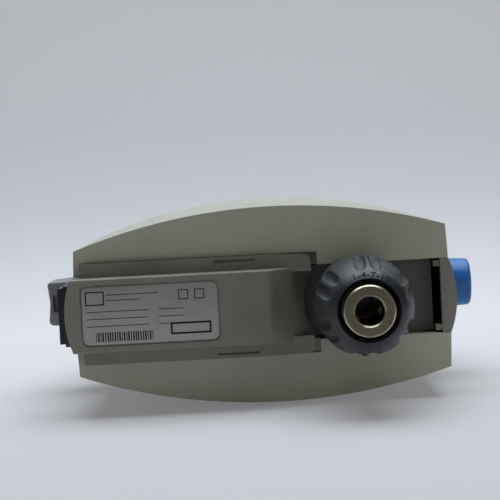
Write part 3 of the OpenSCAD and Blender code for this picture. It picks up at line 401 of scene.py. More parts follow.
class Effects:
    """The shared shader groups: moulded grain, grime, rubbed marks, turning lines, and the nose's wear with
    its painted shade.
    """

    def __init__(self) -> None:
        """Builds each group once."""
        self.grain = self._grain()
        self.grime = self._grime()
        self.rub = self._rub()
        self.turned = self._turned()
        self.nose_wear_and_shade = self._nose_wear_and_shade()

    @staticmethod
    def _grain() -> bpy.types.NodeTree:
        """Fine spark-eroded texture of a moulding: a height and a faint change of tone.

        Returns:
            The group.
        """
        tree, given, made = new_group(
            "moulded_grain", {"Scale": ("NodeSocketFloat", 2600.0), "Mottle": ("NodeSocketFloat", 90.0)},
            ("Height", "Tone"))
        at = tree.place()
        cells = tree.node("ShaderNodeTexVoronoi", {"Vector": at, "Scale": given.outputs["Scale"]})
        fine = tree.noise(at, given.outputs["Scale"], Detail=2.0)
        broad = tree.noise(at, given.outputs["Mottle"], Detail=4.0)
        height = tree.math("ADD", fine, tree.math("MULTIPLY", cells.outputs[0], 0.5))
        tree.feed(made, {"Height": height, "Tone": tree.ramp(broad, 0.25, 0.75)})
        return tree.tree

    @staticmethod
    def _grime() -> bpy.types.NodeTree:
        """Blotches of handling grime as a mask.

        Returns:
            The group.
        """
        tree, given, made = new_group(
            "handling_grime", {"Scale": ("NodeSocketFloat", 26.0), "Amount": ("NodeSocketFloat", 0.4)},
            ("Blotch",))
        blotch = tree.noise(tree.place(), given.outputs["Scale"], Detail=6.0, Roughness=0.6, Distortion=0.6)
        soft = tree.ramp(blotch, 0.42, 0.78)
        tree.feed(made, {"Blotch": tree.math("MULTIPLY", soft, given.outputs["Amount"])})
        return tree.tree

    @staticmethod
    def _rub() -> bpy.types.NodeTree:
        """Short scratches and rubbed patches as one mask.

        Returns:
            The group.
        """
        tree, given, made = new_group(
            "rubbed_marks",
            {"Scale": ("NodeSocketFloat", 60.0), "Amount": ("NodeSocketFloat", 0.5),
             "Stretch": ("NodeSocketVector", (1.0, 1.0, 8.0))}, ("Mask",))
        at = tree.place()
        drawn = tree.node("ShaderNodeVectorMath", {0: at, 1: given.outputs["Stretch"]}, operation="MULTIPLY")
        fine = tree.noise(drawn.outputs[0], given.outputs["Scale"], Detail=8.0, Roughness=0.75)
        lines = tree.ramp(fine, 0.56, 0.66)
        patch = tree.ramp(tree.noise(at, 45.0, Detail=2.0), 0.45, 0.65)
        both = tree.math("MULTIPLY", lines, patch)
        tree.feed(made, {"Mask": tree.math("MULTIPLY", both, given.outputs["Amount"])})
        return tree.tree

    @staticmethod
    def _turned() -> bpy.types.NodeTree:
        """Fine lathe lines round an upright axis, as a height and a tone.

        The lines are a noise along the distance from the axis and the height.

        Returns:
            The group.
        """
        tree, given, made = new_group(
            "lathe_lines",
            {"Centre": ("NodeSocketVector", (0.0, 0.0, 0.0)), "Pitch": ("NodeSocketFloat", 9000.0)},
            ("Height", "Tone"))
        radius, height = tree.round_axis(tree.place(), given.outputs["Centre"])
        spot = tree.node("ShaderNodeCombineXYZ", {0: radius, 1: height, 2: 0.0})
        lines = tree.noise(spot.outputs[0], given.outputs["Pitch"], Detail=3.0, Roughness=0.6)
        tree.feed(made, {"Height": lines, "Tone": tree.ramp(lines, 0.3, 0.7)})
        return tree.tree

    @staticmethod
    def _nose_wear_and_shade() -> bpy.types.NodeTree:
        """Masks of the chuck's nose by the distance from its axis, for its wear and its painted shade.

        Bore is painted shade, 1 inside the bore radius behind the nose face and beside the rim; Rim is 1 on
        two thin rings that hands and shafts keep bright, broken up by noise, and Patina is pitted all over.

        Returns:
            The group.
        """
        tree, given, made = new_group(
            "nose_wear_and_shade",
            {"Centre": ("NodeSocketVector", (0.0, 0.0, 0.0)), "Bore Radius": ("NodeSocketFloat", 0.0057),
             "Bore Rim": ("NodeSocketFloat", 0.0059), "Rim Radius": ("NodeSocketFloat", 0.0096),
             "Face": ("NodeSocketFloat", -0.1294)}, ("Bore", "Rim", "Patina"))
        at = tree.place()
        radius, height = tree.round_axis(at, given.outputs["Centre"])
        behind = tree.math("SUBTRACT", height, given.outputs["Face"])
        from_rim = tree.math("SUBTRACT", radius, given.outputs["Rim Radius"])
        inside = tree.ramp(tree.math("SUBTRACT", radius, given.outputs["Bore Radius"]), 0.0, 0.0002, 1.0, 0.0)
        deep = tree.ramp(behind, 0.0003, 0.0030)
        beside = tree.math("MULTIPLY", tree.ramp(from_rim, 0.0002, 0.0005), tree.ramp(behind, 0.0006, 0.0012))
        near = tree.ramp(behind, 0.030, 0.034, 1.0, 0.0)
        # painted shade: the bore and the side behind the rim are darkened where shadow falls
        dark = tree.math("MAXIMUM", tree.math("MULTIPLY", inside, deep), tree.math("MULTIPLY", beside, 0.85))
        edge_noise = tree.noise(at, 700.0, Detail=3.0)
        wander = tree.math("MULTIPLY", tree.math("SUBTRACT", edge_noise, 0.5), 0.0007)
        from_bore = tree.math("SUBTRACT", radius, given.outputs["Bore Rim"])
        off_rim = tree.math("ABSOLUTE", tree.math("ADD", from_rim, wander))
        off_bore = tree.math("ABSOLUTE", tree.math("ADD", from_bore, wander))
        rim = tree.math("MAXIMUM", tree.ramp(off_rim, 0.0001, 0.0005, 1.0, 0.0),
                        tree.ramp(off_bore, 0.0001, 0.0004, 1.0, 0.0))
        pits = tree.noise(at, 420.0, Detail=6.0, Roughness=0.7)
        tree.feed(made, {"Bore": tree.math("MULTIPLY", dark, near), "Rim": rim,
                         "Patina": tree.ramp(pits, 0.50, 0.68)})
        return tree.tree


# ----------------------------------------------------------------------------- finishes


def srgb(red: float, green: float, blue: float) -> tuple[float, float, float, float]:
    """An 8-bit display colour as linear light.

    Each channel c in 0..1 becomes ((c + 0.055) / 1.055) ^ 2.4, or c / 12.92 where it is dark.

    Args:
        red: 0 to 255.
        green: 0 to 255.
        blue: 0 to 255.

    Returns:
        Red, green, blue and an alpha of 1.
    """
    c = np.array([red, green, blue]) / 255
    linear = np.where(c <= 0.04045, c / 12.92, ((c + 0.055) / 1.055) ** 2.4)
    return (*linear.tolist(), 1.0)


class Pattern(Enum):
    """The surface relief of a finish."""

    MOULDED = "moulded"
    TURNED = "turned"
    CAST = "cast"


GRIME_DULLS = 0.25
RUB_SHINES = 0.12


@dataclass(frozen=True)
class Finish:
    """One material: its colour, gloss, relief and how it has aged.

    Attributes:
        slot: name of the material.
        colour: main colour.
        roughness: gloss, from 0 polished to 1 dull.
        metallic: 1 for a bare metal.
        pattern: the relief of its surface.
        relief: height of the relief in metres.
        scale: noise scale of the relief.
        mottle: share by which the tone drifts.
        soiled: colour of its grime.
        grime: how much grime it carries.
        rubbed: colour where it is rubbed through.
        rub: how much it is rubbed.
        coat: weight of a clear gloss over it.
        centre: axis of its turning lines.
    """

    slot: str
    colour: tuple
    roughness: float
    metallic: float = 0.0
    pattern: Pattern = Pattern.MOULDED
    relief: float = 2.0e-5
    scale: float = 2600.0
    mottle: float = 0.06
    soiled: tuple = srgb(70, 62, 48)
    grime: float = 0.25
    rubbed: tuple = srgb(150, 150, 145)
    rub: float = 0.0
    coat: float = 0.0
    centre: tuple = (0.0, 0.0, 0.0)

    def build(self, effects: Effects) -> bpy.types.Material:
        """Makes the Blender material.

        Args:
            effects: the shared shader groups.

        Returns:
            The material, named after the slot.
        """
        material = bpy.data.materials.new(self.slot)
        material.use_nodes = True
        tree = Tree(material.node_tree)
        shader = material.node_tree.nodes["Principled BSDF"]
        grain = self._relief(tree, effects)
        grime = tree.node("ShaderNodeGroup", node_tree=effects.grime)
        grime.inputs["Amount"].default_value = self.grime
        dark = tuple(c * (1 - self.mottle) for c in self.colour[:3]) + (1.0,)
        light = tuple(min(1.0, c * (1 + self.mottle)) for c in self.colour[:3]) + (1.0,)
        base = tree.mix(grain.outputs["Tone"], dark, light)
        base = tree.mix(grime.outputs["Blotch"], base, self.soiled)
        dulled = min(1.0, self.roughness + GRIME_DULLS)
        rough = tree.ramp(grime.outputs["Blotch"], 0.0, 1.0, self.roughness, dulled)
        if self.rub > 0:
            rub = tree.node("ShaderNodeGroup", node_tree=effects.rub)
            rub.inputs["Amount"].default_value = self.rub
            base = tree.mix(rub.outputs["Mask"], base, self.rubbed)
            rough = tree.math("SUBTRACT", rough, tree.math("MULTIPLY", rub.outputs["Mask"], RUB_SHINES))
        base, rough = self.wear(tree, effects, base, rough)
        tree.feed(shader, {"Base Color": base, "Roughness": rough, "Metallic": self.metallic,
                           "Coat Weight": self.coat})
        if self.relief > 0:
            bump = tree.node("ShaderNodeBump", {"Height": grain.outputs["Height"], "Distance": self.relief,
                                                "Strength": 1.0})
            tree.feed(shader, {"Normal": bump.outputs[0]})
        return material

    def wear(self, tree: Tree, effects: Effects, base: object, rough: object) -> tuple:
        """Wear that only one finish shows: none here."""
        return base, rough

    def _relief(self, tree: Tree, effects: Effects) -> bpy.types.Node:
        """Places the relief group that suits the pattern.

        Args:
            tree: the material's tree.
            effects: the shared shader groups.

        Returns:
            The group's node.
        """
        if self.pattern is Pattern.TURNED:
            made = tree.node("ShaderNodeGroup", node_tree=effects.turned)
            tree.feed(made, {"Centre": self.centre, "Pitch": self.scale})
            return made
        made = tree.node("ShaderNodeGroup", node_tree=effects.grain)
        made.inputs["Scale"].default_value = self.scale
        return made


@dataclass(frozen=True)
class NoseSteel(Finish):
    """Turned steel that is browned on its face, bright on its rims, and black as painted shade down its bore
    and behind its rim.

    Attributes:
        bright: colour of the rims.
        patina: colour of the browned face.
        painted_bore_shade: colour of the painted shade down the bore and beside the rim.
        browned: share of the patina.
        bore_dulls: how much duller the bore is.
        rim_shines: how much glossier the rims are.
    """

    bright: tuple = srgb(186, 178, 152)
    patina: tuple = srgb(84, 70, 48)
    painted_bore_shade: tuple = srgb(14, 12, 11)
    browned: float = 0.45
    bore_dulls: float = 0.45
    rim_shines: float = 0.08

    def wear(self, tree: Tree, effects: Effects, base: object, rough: object) -> tuple:
        """Browns the face, brightens the rims, and paints shade down the bore and beside the rim.

        Args:
            tree: the material's tree.
            effects: the shared shader groups.
            base: the colour so far.
            rough: the roughness so far.

        Returns:
            The new colour and roughness.
        """
        masks = tree.node("ShaderNodeGroup", {"Centre": self.centre}, node_tree=effects.nose_wear_and_shade)
        base = tree.mix(tree.math("MULTIPLY", masks.outputs["Patina"], self.browned), base, self.patina)
        base = tree.mix(masks.outputs["Rim"], base, self.bright)
        # painted shade: the bore and the side behind the rim go dark here
        base = tree.mix(masks.outputs["Bore"], base, self.painted_bore_shade)
        rough = tree.math("ADD", rough, tree.math("MULTIPLY", masks.outputs["Bore"], self.bore_dulls))
        shine = tree.math("MULTIPLY", masks.outputs["Rim"], self.rim_shines)
        return base, tree.math("SUBTRACT", rough, shine)


SPINDLE = (0.0, -0.1334, 0.0)

FINISHES = (
    Finish("shell_plastic", srgb(180, 179, 162), 0.42, relief=1.2e-5, scale=1500, mottle=0.02, grime=0.14,
           soiled=srgb(122, 112, 88)),
    Finish("cover_plastic", srgb(130, 127, 117), 0.5, relief=2.2e-5, scale=2200, mottle=0.06, grime=0.25,
           soiled=srgb(80, 75, 62)),
    Finish("plate_film", srgb(164, 164, 159), 0.36, metallic=0.35, relief=2e-6, scale=900, mottle=0.03,
           grime=0.2, soiled=srgb(116, 113, 102)),
    Finish("cast_aluminium", srgb(136, 136, 136), 0.5, metallic=0.25, pattern=Pattern.CAST, relief=3.5e-5,
           scale=1700, mottle=0.07, grime=0.3, soiled=srgb(84, 82, 76)),
    NoseSteel("bright_steel", srgb(120, 114, 98), 0.38, metallic=0.9, pattern=Pattern.TURNED, relief=2e-6,
              scale=7000, mottle=0.10, grime=0.4, soiled=srgb(66, 52, 36), centre=SPINDLE),
    Finish("jaw_steel", srgb(196, 166, 122), 0.4, metallic=0.55, relief=3e-6, scale=4000, mottle=0.12,
           grime=0.7, soiled=srgb(52, 34, 20)),
    NoseSteel("dark_steel", srgb(88, 88, 90), 0.36, metallic=0.9, pattern=Pattern.TURNED, relief=2e-6,
              scale=5000, mottle=0.08, grime=0.3, centre=SPINDLE, patina=srgb(72, 70, 68),
              bright=srgb(120, 120, 122)),
    Finish("painted_frame", srgb(100, 99, 94), 0.52, relief=3e-5, scale=1700, mottle=0.06, grime=0.3,
           soiled=srgb(62, 60, 54), rubbed=srgb(140, 140, 138), rub=0.25),
    Finish("board_screw_steel", srgb(176, 176, 176), 0.28, metallic=1.0, relief=1e-6, scale=4000,
           mottle=0.05),
    Finish("magnet_ferrite", srgb(64, 64, 68), 0.5, metallic=0.4, relief=1e-5, scale=3000, mottle=0.1),
    Finish("copper_winding", srgb(170, 92, 48), 0.32, metallic=0.85, relief=8e-5, scale=1200, mottle=0.15),
    Finish("belt_rubber", srgb(28, 28, 28), 0.75, relief=3e-5, scale=2200, mottle=0.1, grime=0.3),
    Finish("chuck_plastic", srgb(31, 35, 40), 0.42, relief=1.6e-5, scale=1500, mottle=0.16, grime=0.5,
           soiled=srgb(74, 76, 76), rubbed=srgb(126, 128, 128), rub=0.45),
    Finish("blue_plastic", srgb(24, 104, 174), 0.38, relief=8e-6, scale=1600, mottle=0.04, grime=0.1,
           soiled=srgb(20, 52, 96)),
    Finish("black_plastic", srgb(28, 29, 33), 0.42, relief=1e-5, scale=2400, mottle=0.08, grime=0.25,
           soiled=srgb(60, 58, 52)),
    Finish("print_ink", srgb(8, 8, 9), 0.85, relief=0.0, scale=1500, mottle=0.1, grime=0.1),
    Finish("contact_brass", srgb(196, 178, 128), 0.28, metallic=1.0, relief=1e-6, scale=3000, mottle=0.06),
    Finish("fuse_glass", srgb(206, 212, 208), 0.12, relief=0.0, scale=900, mottle=0.02, grime=0.05),
    Finish("window_plastic", srgb(24, 26, 30), 0.12, relief=0.0, scale=900, mottle=0.04, grime=0.05,
           coat=0.6),
    Finish("circuit_board", srgb(36, 92, 56), 0.4, relief=6e-6, scale=1400, mottle=0.12, grime=0.15,
           soiled=srgb(24, 60, 38)),
    Finish("lead_insulation", srgb(140, 84, 44), 0.5, relief=5e-6, scale=2600, mottle=0.05),
)


class Palette:
    """Every material by its name."""

    def __init__(self, effects: Effects) -> None:
        """Builds the finishes."""
        self.made = {finish.slot: finish.build(effects) for finish in FINISHES}

    def dress(self, piece: bpy.types.Object, name: str) -> None:
        """Puts one material on a piece in place of what it had."""
        piece.data.materials.clear()
        piece.data.materials.append(self.made[name])


# ----------------------------------------------------------------------------- making pieces


def put(name: str, mesh: bpy.types.Mesh, smooth_deg: float = SMOOTH_DEG) -> bpy.types.Object:
    """Links a mesh as a new object and smooths it up to an angle.

    Args:
        name: the piece's name.
        mesh: its mesh.
        smooth_deg: edges that turn by more degrees stay sharp.

    Returns:
        The piece.
    """
    piece = bpy.data.objects.new(name, mesh)
    bpy.context.scene.collection.objects.link(piece)
    shade(mesh, smooth_deg)
    return piece


def shade(mesh: bpy.types.Mesh, smooth_deg: float) -> None:
    """Smooths a mesh and marks the edges that are sharper than an angle.

    Args:
        mesh: the mesh.
        smooth_deg: edges that turn by more degrees stay sharp.
    """
    mesh.polygons.foreach_set("use_smooth", np.ones(len(mesh.polygons), dtype=bool))
    mesh.set_sharp_from_angle(angle=math.radians(smooth_deg))
    mesh.update()


def bevel(piece: bpy.types.Object, width: float, segments: int,
          angle: float = SMOOTH_DEG) -> bpy.types.BevelModifier:
    """Rounds the sharp edges of a piece.

    Args:
        piece: the piece.
        width: size of the rounding.
        segments: segments of each rounding.
        angle: smallest edge angle in degrees that is rounded.

    Returns:
        The modifier.
    """
    made = piece.modifiers.new("rounded_edges", "BEVEL")
    made.width = width
    made.segments = segments
    made.limit_method = "ANGLE"
    made.angle_limit = math.radians(angle)
    made.harden_normals = True
    made.use_clamp_overlap = True
    return made


def level_normals(piece: bpy.types.Object) -> None:
    """Lets the large flat faces set the shading, so that only the roundings between them turn it.

    Args:
        piece: the piece.
    """
    made = piece.modifiers.new("flat_faces_lead", "WEIGHTED_NORMAL")
    made.weight = 60
    made.keep_sharp = True


def apply_all(piece: bpy.types.Object) -> None:
    """Applies every modifier of a piece to its mesh.

    Args:
        piece: the piece.
    """
    bpy.context.view_layer.update()
    graph = bpy.context.evaluated_depsgraph_get()
    made = bpy.data.meshes.new_from_object(piece.evaluated_get(graph), preserve_all_data_layers=True,
                                           depsgraph=graph)
    old = piece.data
    piece.modifiers.clear()
    piece.data = made
    made.name = old.name
    bpy.data.meshes.remove(old)


def carve(piece: bpy.types.Object, shape: Skin, operation: str = "DIFFERENCE") -> None:
    """Cuts a closed shape from a piece, or joins it on, and applies the result.

    Args:
        piece: the piece.
        shape: what is cut away or joined on.
        operation: DIFFERENCE or UNION.
    """
    cutter = shape.mesh("cutting_tool")
    tool = bpy.data.objects.new("cutting_tool", cutter)
    bpy.context.scene.collection.objects.link(tool)
    made = piece.modifiers.new("cut", "BOOLEAN")
    made.operation = operation
    made.solver = "EXACT"
    made.use_self = True
    made.object = tool
    apply_all(piece)
    bpy.data.objects.remove(tool)
    bpy.data.meshes.remove(cutter)


@dataclass
class SubAssembly:
    """Pieces that are made together from one set of sizes.

    Attributes:
        palette: the materials.
    """

    palette: Palette

    def fit(self, piece: bpy.types.Object, body: str, slot: str, *nodes: str,
            look: Optional[str] = None) -> None:
        """Dresses a new piece, puts it on its body and lets it stand in for CAD nodes.

        Args:
            piece: the piece.
            body: the body that it rides on.
            slot: its material slot in the record.
            *nodes: the CAD nodes that it replaces.
            look: another finish than its slot's own.
        """
        self.palette.dress(piece, look or slot)
        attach(piece, body)
        if nodes:
            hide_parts(*nodes)
        LOG.info("%s rides on %s and replaces %s", piece.name, body, ", ".join(nodes) or "nothing")


# ----------------------------------------------------------------------------- the pieces


@dataclass
class SideShell(SubAssembly):
    """One bowed side moulding of the housing, open towards the mid plane.

    Attributes:
        side: +1 for the right one, -1 for the left.
        half_width: distance of the crest from the mid plane at the rim.
        radius: radius of the bowed side.
        crest_y: where along the housing the side is widest.
        front: y of the front edge at the mid plane.
        rear: y of the rear edge at the mid plane.
        rim: z of the underside.
        top: z of the top.
        inner: distance of the open side from the mid plane.
        corner: radius of the two upper corners.
        wall: thickness.
        lean: outward lean of the side.
        rake: sweep of the front and rear faces.
        edge: rounding of the outer edges.
        inner_edge: share of that rounding on the edges by the mid plane and the notch.
        channel: depth, front y, rear y and ceiling z of the notch for the ledges.
        wells: y and z of the screw wells in millimetres.
        well_floor: how far a well's floor lies inside the side.
        well_mouth: how far its liner's mouth lies inside the side.
        well_cut: radius of the hole that is cut for it.
        liner: radii of the screw hole, of the bore and outside, and the floor's thickness, in millimetres.
        lip: thickness, front y, rear y, lower z and upper z of the bay's lip.
        lip_soft: rounding of the lip's upper edge.
    """

    side: int
    half_width: float = 40 * MM
    radius: float = 236 * MM
    crest_y: float = -99.6 * MM
    front: float = -170.8 * MM
    rear: float = -18 * MM
    rim: float = -74 * MM
    top: float = 83 * MM
    inner: float = 15.3 * MM
    corner: float = 20 * MM
    wall: float = 2.4 * MM
    lean: float = math.tan(math.radians(0.6))
    rake: float = math.tan(math.radians(2.6))
    edge: float = 1.3 * MM
    inner_edge: float = 0.16
    channel: tuple = (20.6 * MM, -117.4 * MM, -21.2 * MM, -70.6 * MM)
    wells: tuple = ((-45.0, -46.0), (-45.0, 56.0), (-121.7, -30.0), (-121.7, 28.0))
    well_floor: float = 7 * MM
    well_mouth: float = 1.2 * MM
    well_cut: float = 3.35 * MM
    liner: tuple = (1.75, 3.3, 4.4, 1.6)
    lip: tuple = (1.8 * MM, -169.0 * MM, -117.4 * MM, -72.8 * MM, -66.4 * MM)
    lip_soft: float = 0.15 * MM

    def side_x(self, y: np.ndarray, z: float) -> np.ndarray:
        """Half width of the bowed side: w - R + sqrt(R^2 - (y - crest)^2) + lean (z - rim)."""
        bow = np.sqrt(self.radius ** 2 - (y - self.crest_y) ** 2)
        return self.half_width - self.radius + bow + self.lean * (z - self.rim)

    def plan(self, z: float, pull: float, channel: bool) -> np.ndarray:
        """Outline at a height.

        The ends are where the raked faces meet the bowed side, found by stepping y to them.

        Args:
            z: the height.
            pull: how far the front and rear faces stand back there.
            channel: whether the notch for the ledges is cut at that height.

        Returns:
            (n, 2) points x, y for the right side.
        """
        ends = np.array([self.front + pull, self.rear - pull])
        slope = np.array([self.rake, -self.rake])
        y = ends.copy()
        for _ in range(8):
            y = ends + slope * (self.side_x(y, z) - self.inner)
        bow = np.linspace(y[0], y[1], 47)
        arc = np.stack([self.side_x(bow, z), bow], 1)
        notch_x, low, high, _ = self.channel
        deep = notch_x if channel else self.inner
        tail = np.array([[self.inner, ends[1]], [self.inner, high], [deep, high], [deep, low],
                         [self.inner, low], [self.inner, ends[0]]])
        return np.concatenate([arc, tail])

    def rows(self) -> np.ndarray:
        """Every outline from the rim to the top as one grid.

        Over the corner the height is top - r + r sin t while the ends stand back by r (1 - cos t).

        Returns:
            (rows, n, 3) grid.
        """
        ceiling = self.channel[3]
        start = self.top - self.corner
        stations = [(self.rim, 0.0, True), (ceiling, 0.0, True), (ceiling, 0.0, False)]
        stations += [(z, 0.0, False) for z in np.linspace(-0.055, start, 8)]
        for t in np.radians(np.linspace(7.5, 90, 12)):
            stations.append((start + self.corner * math.sin(t), self.corner * (1 - math.cos(t)), False))
        loops = [self.plan(z, pull, channel) for z, pull, channel in stations]
        return stacked(loops, [z for z, _, _ in stations])

    def build(self) -> None:
        """Makes the moulding with its wall, rounded edges and screw wells, and the lip of the bay."""
        hand = "right" if self.side > 0 else "left"
        grid = self.rows()
        grid[..., 0] *= self.side
        mesh = Skin().grid(grid, capped=True).mesh(f"{hand}_side_moulding")
        self._open(mesh)
        piece = put(f"{hand}_side_moulding", mesh)
        thick = piece.modifiers.new("wall", "SOLIDIFY")
        thick.thickness = self.wall
        thick.offset = -1
        thick.use_even_offset = True
        bevel(piece, self.edge, 4).limit_method = "WEIGHT"
        if self.side > 0:
            apply_all(piece)
            for y, z in self.wells:
                carve(piece, self._drill(y, z))
        self.fit(piece, "housing", "shell_plastic", f"{hand}_shell")
        if self.side > 0:
            self._build_wells()
        self._build_lip(f"{hand}_bay_lip")

    def _open(self, mesh: bpy.types.Mesh) -> None:
        """Removes the face on the mid-plane side and weights the edges for rounding.

        Args:
            mesh: the closed moulding.
        """
        work = bmesh.new()
        work.from_mesh(mesh)
        reach, notch_x, ceiling = (at + 1e-6 for at in (self.inner, self.channel[0], self.channel[3]))
        inner = [f for f in work.faces if all(abs(v.co.x) < reach for v in f.verts)]
        bmesh.ops.delete(work, geom=inner, context="FACES")
        weight = work.edges.layers.float.new("bevel_weight_edge")
        for edge in work.edges:
            near = all(abs(v.co.x) < reach for v in edge.verts)
            notch = all(abs(v.co.x) < notch_x and v.co.z < ceiling for v in edge.verts)
            if len(edge.link_faces) == 2 and edge.calc_face_angle(0) < math.radians(SMOOTH_DEG):
                continue
            edge[weight] = self.inner_edge if near or notch else 1.0
        work.to_mesh(mesh)
        work.free()

    def _side_at(self, y: float, z: float) -> float:
        """Half width at a well, whose y and z are in millimetres."""
        return float(self.side_x(np.array(y * MM), z * MM))

    def _drill(self, y: float, z: float) -> Skin:
        """A round bar along x that opens a well.

        Args:
            y: the well's y in millimetres.
            z: the well's z in millimetres.

        Returns:
            The bar.
        """
        floor = self._side_at(y, z) - self.well_floor
        outside = floor + 20 * MM
        profile = np.array([[0.0, floor], [self.well_cut, floor], [self.well_cut, outside], [0.0, outside]])
        return Skin().grid(revolve(profile, (0.0, y * MM, z * MM), 48, axis=0))

    def _build_wells(self) -> None:
        """Makes the liners of the screw wells: a tube with a floor that the head rests on."""
        skin = Skin()
        hole, bore, outside, floor_t = self.liner
        for y, z in self.wells:
            floor = (self._side_at(y, z) - self.well_floor) / MM
            mouth = (self._side_at(y, z) - self.well_mouth) / MM
            profile = np.array([[hole, floor - floor_t], [outside, floor - floor_t], [outside, mouth],
                                [bore, mouth], [bore, floor], [hole, floor], [hole, floor - floor_t]]) * MM
            skin.grid(revolve(profile, (0.0, y * MM, z * MM), 48, axis=0))
        self.fit(skin.piece("screw_wells"), "housing", "shell_plastic")

    def _build_lip(self, name: str) -> None:
        """Makes the lip that walls the front bay up to the frame.

        Args:
            name: the piece's name.
        """
        thick, front, rear, low, high = self.lip
        loop = rectangle(self.inner, self.inner + thick, front, rear)
        grid = softened_block(loop, low, high, 0.0, self.lip_soft, 3)
        grid[..., 0] *= self.side
        self.fit(Skin().grid(grid, capped=True).piece(name), "housing", "shell_plastic")


@dataclass
class LowerCover(SubAssembly):
    """The dark cover under the rear half: painted shade in its seams, the inlet's gasket and the rating
    plate.

    Attributes:
        half_width: half the pan's width.
        low: z of the pan's underside.
        top: z of the cover's upper edge.
        rear_y: y of the rear arc at the mid plane.
        rear_radius: radius of the rear arc.
        foot: y where the ramp starts.
        ramp_len: length of the ramp along y.
        ramp_rise: height of the ramp.
        well_y: y of the chuck well's axis.
        well_radius: radius of the chuck well.
        edge: rounding of the pan's edges.
        blend: half the length over which the ramp starts.
        rim_rise: two y between which the rim rises towards the well.
        rim_high: z of the rim by the well.
        wall: thickness by the well and elsewhere.
        skirt: least height of the skirt.
        middle_y: y of the plan's middle, towards which the inner wall is drawn.
        drawn_in: share of the plan that the inner wall keeps across and along.
        ledge: outline of a ledge in millimetres.
        ledge_radii: rounding of each of its corners in millimetres.
        ledge_z: lower z of a ledge and the rounding of its lower edge.
        slot: x and y ranges of a ledge's slot in millimetres.
        slot_z: lower and upper z that the slot is cut to.
        slot_radius: radius of the slot's corners.
        seam_strip: x, y and z ranges of a ledge's black strip of painted shade in its seam.
        pad: half width, lower z and upper z of the power inlet's pad.
        gasket_y: rear and front y of the pad's gasket.
        gasket_reach: inner and outer reach of the gasket past the pad.
        gasket_radii: corner radius of the gasket inside, outside and at its rounded edge.
        gasket_soft: rounding of the gasket's edge.
        plate_centre: y of the rating plate's middle.
        plate_size: width and length of the plate.
        plate_z: lower and upper z of the plate.
        plate_radius: radius of the plate's corners.
        plate_soft: rounding of the plate's lower edge.
        recess: reach of the plate's recess past the plate, its corner radius and its depth.
    """

    half_width: float = 14.8 * MM
    low: float = -87.4 * MM
    top: float = -73 * MM
    rear_y: float = -15 * MM
    rear_radius: float = 40.52 * MM
    foot: float = -97.7 * MM
    ramp_len: float = 17.9 * MM
    ramp_rise: float = 20 * MM
    well_y: float = -133.4 * MM
    well_radius: float = 22 * MM
    edge: float = 0.8 * MM
    blend: float = 1.3 * MM
    rim_rise: tuple = (-116.5 * MM, -106 * MM)
    rim_high: float = -66.8 * MM
    wall: tuple = (0.25 * MM, 1.2 * MM)
    skirt: float = 0.5 * MM
    middle_y: float = -66 * MM
    drawn_in: tuple = (0.915, 0.974)
    ledge: tuple = ((13.6, -21.4), (20.2, -21.4), (20.2, -97.7), (19.8, -111.2), (19.2, -113.6),
                    (13.6, -114.4))
    ledge_radii: tuple = (0, 0.6, 4, 0.8, 1.0, 0)
    ledge_z: tuple = (-78 * MM, 0.45 * MM)
    slot: tuple = (18.3, 19.3, -92.2, -75.2)
    slot_z: tuple = (-80 * MM, -76.9 * MM)
    slot_radius: float = 0.3 * MM
    seam_strip: tuple = (20.17 * MM, 20.64 * MM, -97.5 * MM, -22.0 * MM, -74.7 * MM, -73.6 * MM)
    pad: tuple = (12.15 * MM, -81.0 * MM, -21.0 * MM)
    gasket_y: tuple = (-14.2 * MM, -18.2 * MM)
    gasket_reach: tuple = (0.02 * MM, 0.35 * MM)
    gasket_radii: tuple = (0.3 * MM, 1.2 * MM, 1.1 * MM)
    gasket_soft: float = 0.2 * MM
    plate_centre: float = -49.3 * MM
    plate_size: tuple = (23.2 * MM, 54.2 * MM)
    plate_z: tuple = (-87.2 * MM, -86.82 * MM)
    plate_radius: float = 2.6 * MM
    plate_soft: float = 0.12 * MM
    recess: tuple = (0.7 * MM, 3.2 * MM, 0.6 * MM)

    def _surface(self) -> np.ndarray:
        """The pan's underside and ramp as a height field over its plan.

        Columns run across and rows from the rear arc to the well's arc. Within a distance e of an edge
        the height rises by e - sqrt(e^2 - q^2), where q is the closeness to the edge. Past the foot
        it rises along the ramp, blended over 2b by slope (foot + b - y)^2 / 4b.

        Returns:
            (rows, columns, 3) grid.
        """
        near = self.edge * (1 - np.cos(np.radians(np.linspace(0, 90, 7))))
        middle = np.linspace(self.edge, 2 * self.half_width - self.edge, 13)[1:-1]
        x = np.concatenate([near, middle, 2 * self.half_width - near[::-1]])[None, :] - self.half_width
        y_rear = self.rear_y - self.rear_radius + np.sqrt(self.rear_radius ** 2 - x ** 2)
        y_front = self.well_y + np.sqrt(self.well_radius ** 2 - x ** 2)
        start, stop = self.foot + self.blend, self.foot - self.blend
        s = np.linspace(0, 1, 19)[1:-1, None]
        y = np.concatenate([
            y_rear - near[:, None],
            (y_rear - self.edge) * (1 - s) + start * s,
            np.broadcast_to(np.linspace(start, stop, 7)[:, None], (7, x.shape[1])),
            stop * (1 - s[1::2]) + y_front * s[1::2],
            y_front,
        ])
        x = np.broadcast_to(x, y.shape)
        close_x = np.maximum(0, self.edge - (self.half_width - np.abs(x)))
        close_y = np.maximum(0, self.edge - (y_rear - y))
        q = np.minimum(np.hypot(close_x, close_y), self.edge)
        rounding = self.edge - np.sqrt(np.maximum(self.edge ** 2 - q ** 2, 0))
        slope = self.ramp_rise / self.ramp_len
        past = self.foot - y
        blended = np.where(past > -self.blend, slope * (past + self.blend) ** 2 / (4 * self.blend), 0)
        ramp = np.where(past > self.blend, slope * past, blended)
        z = np.minimum(self.low + rounding + ramp, self.low + self.ramp_rise + rounding)
        return np.stack([x, y, z], -1)

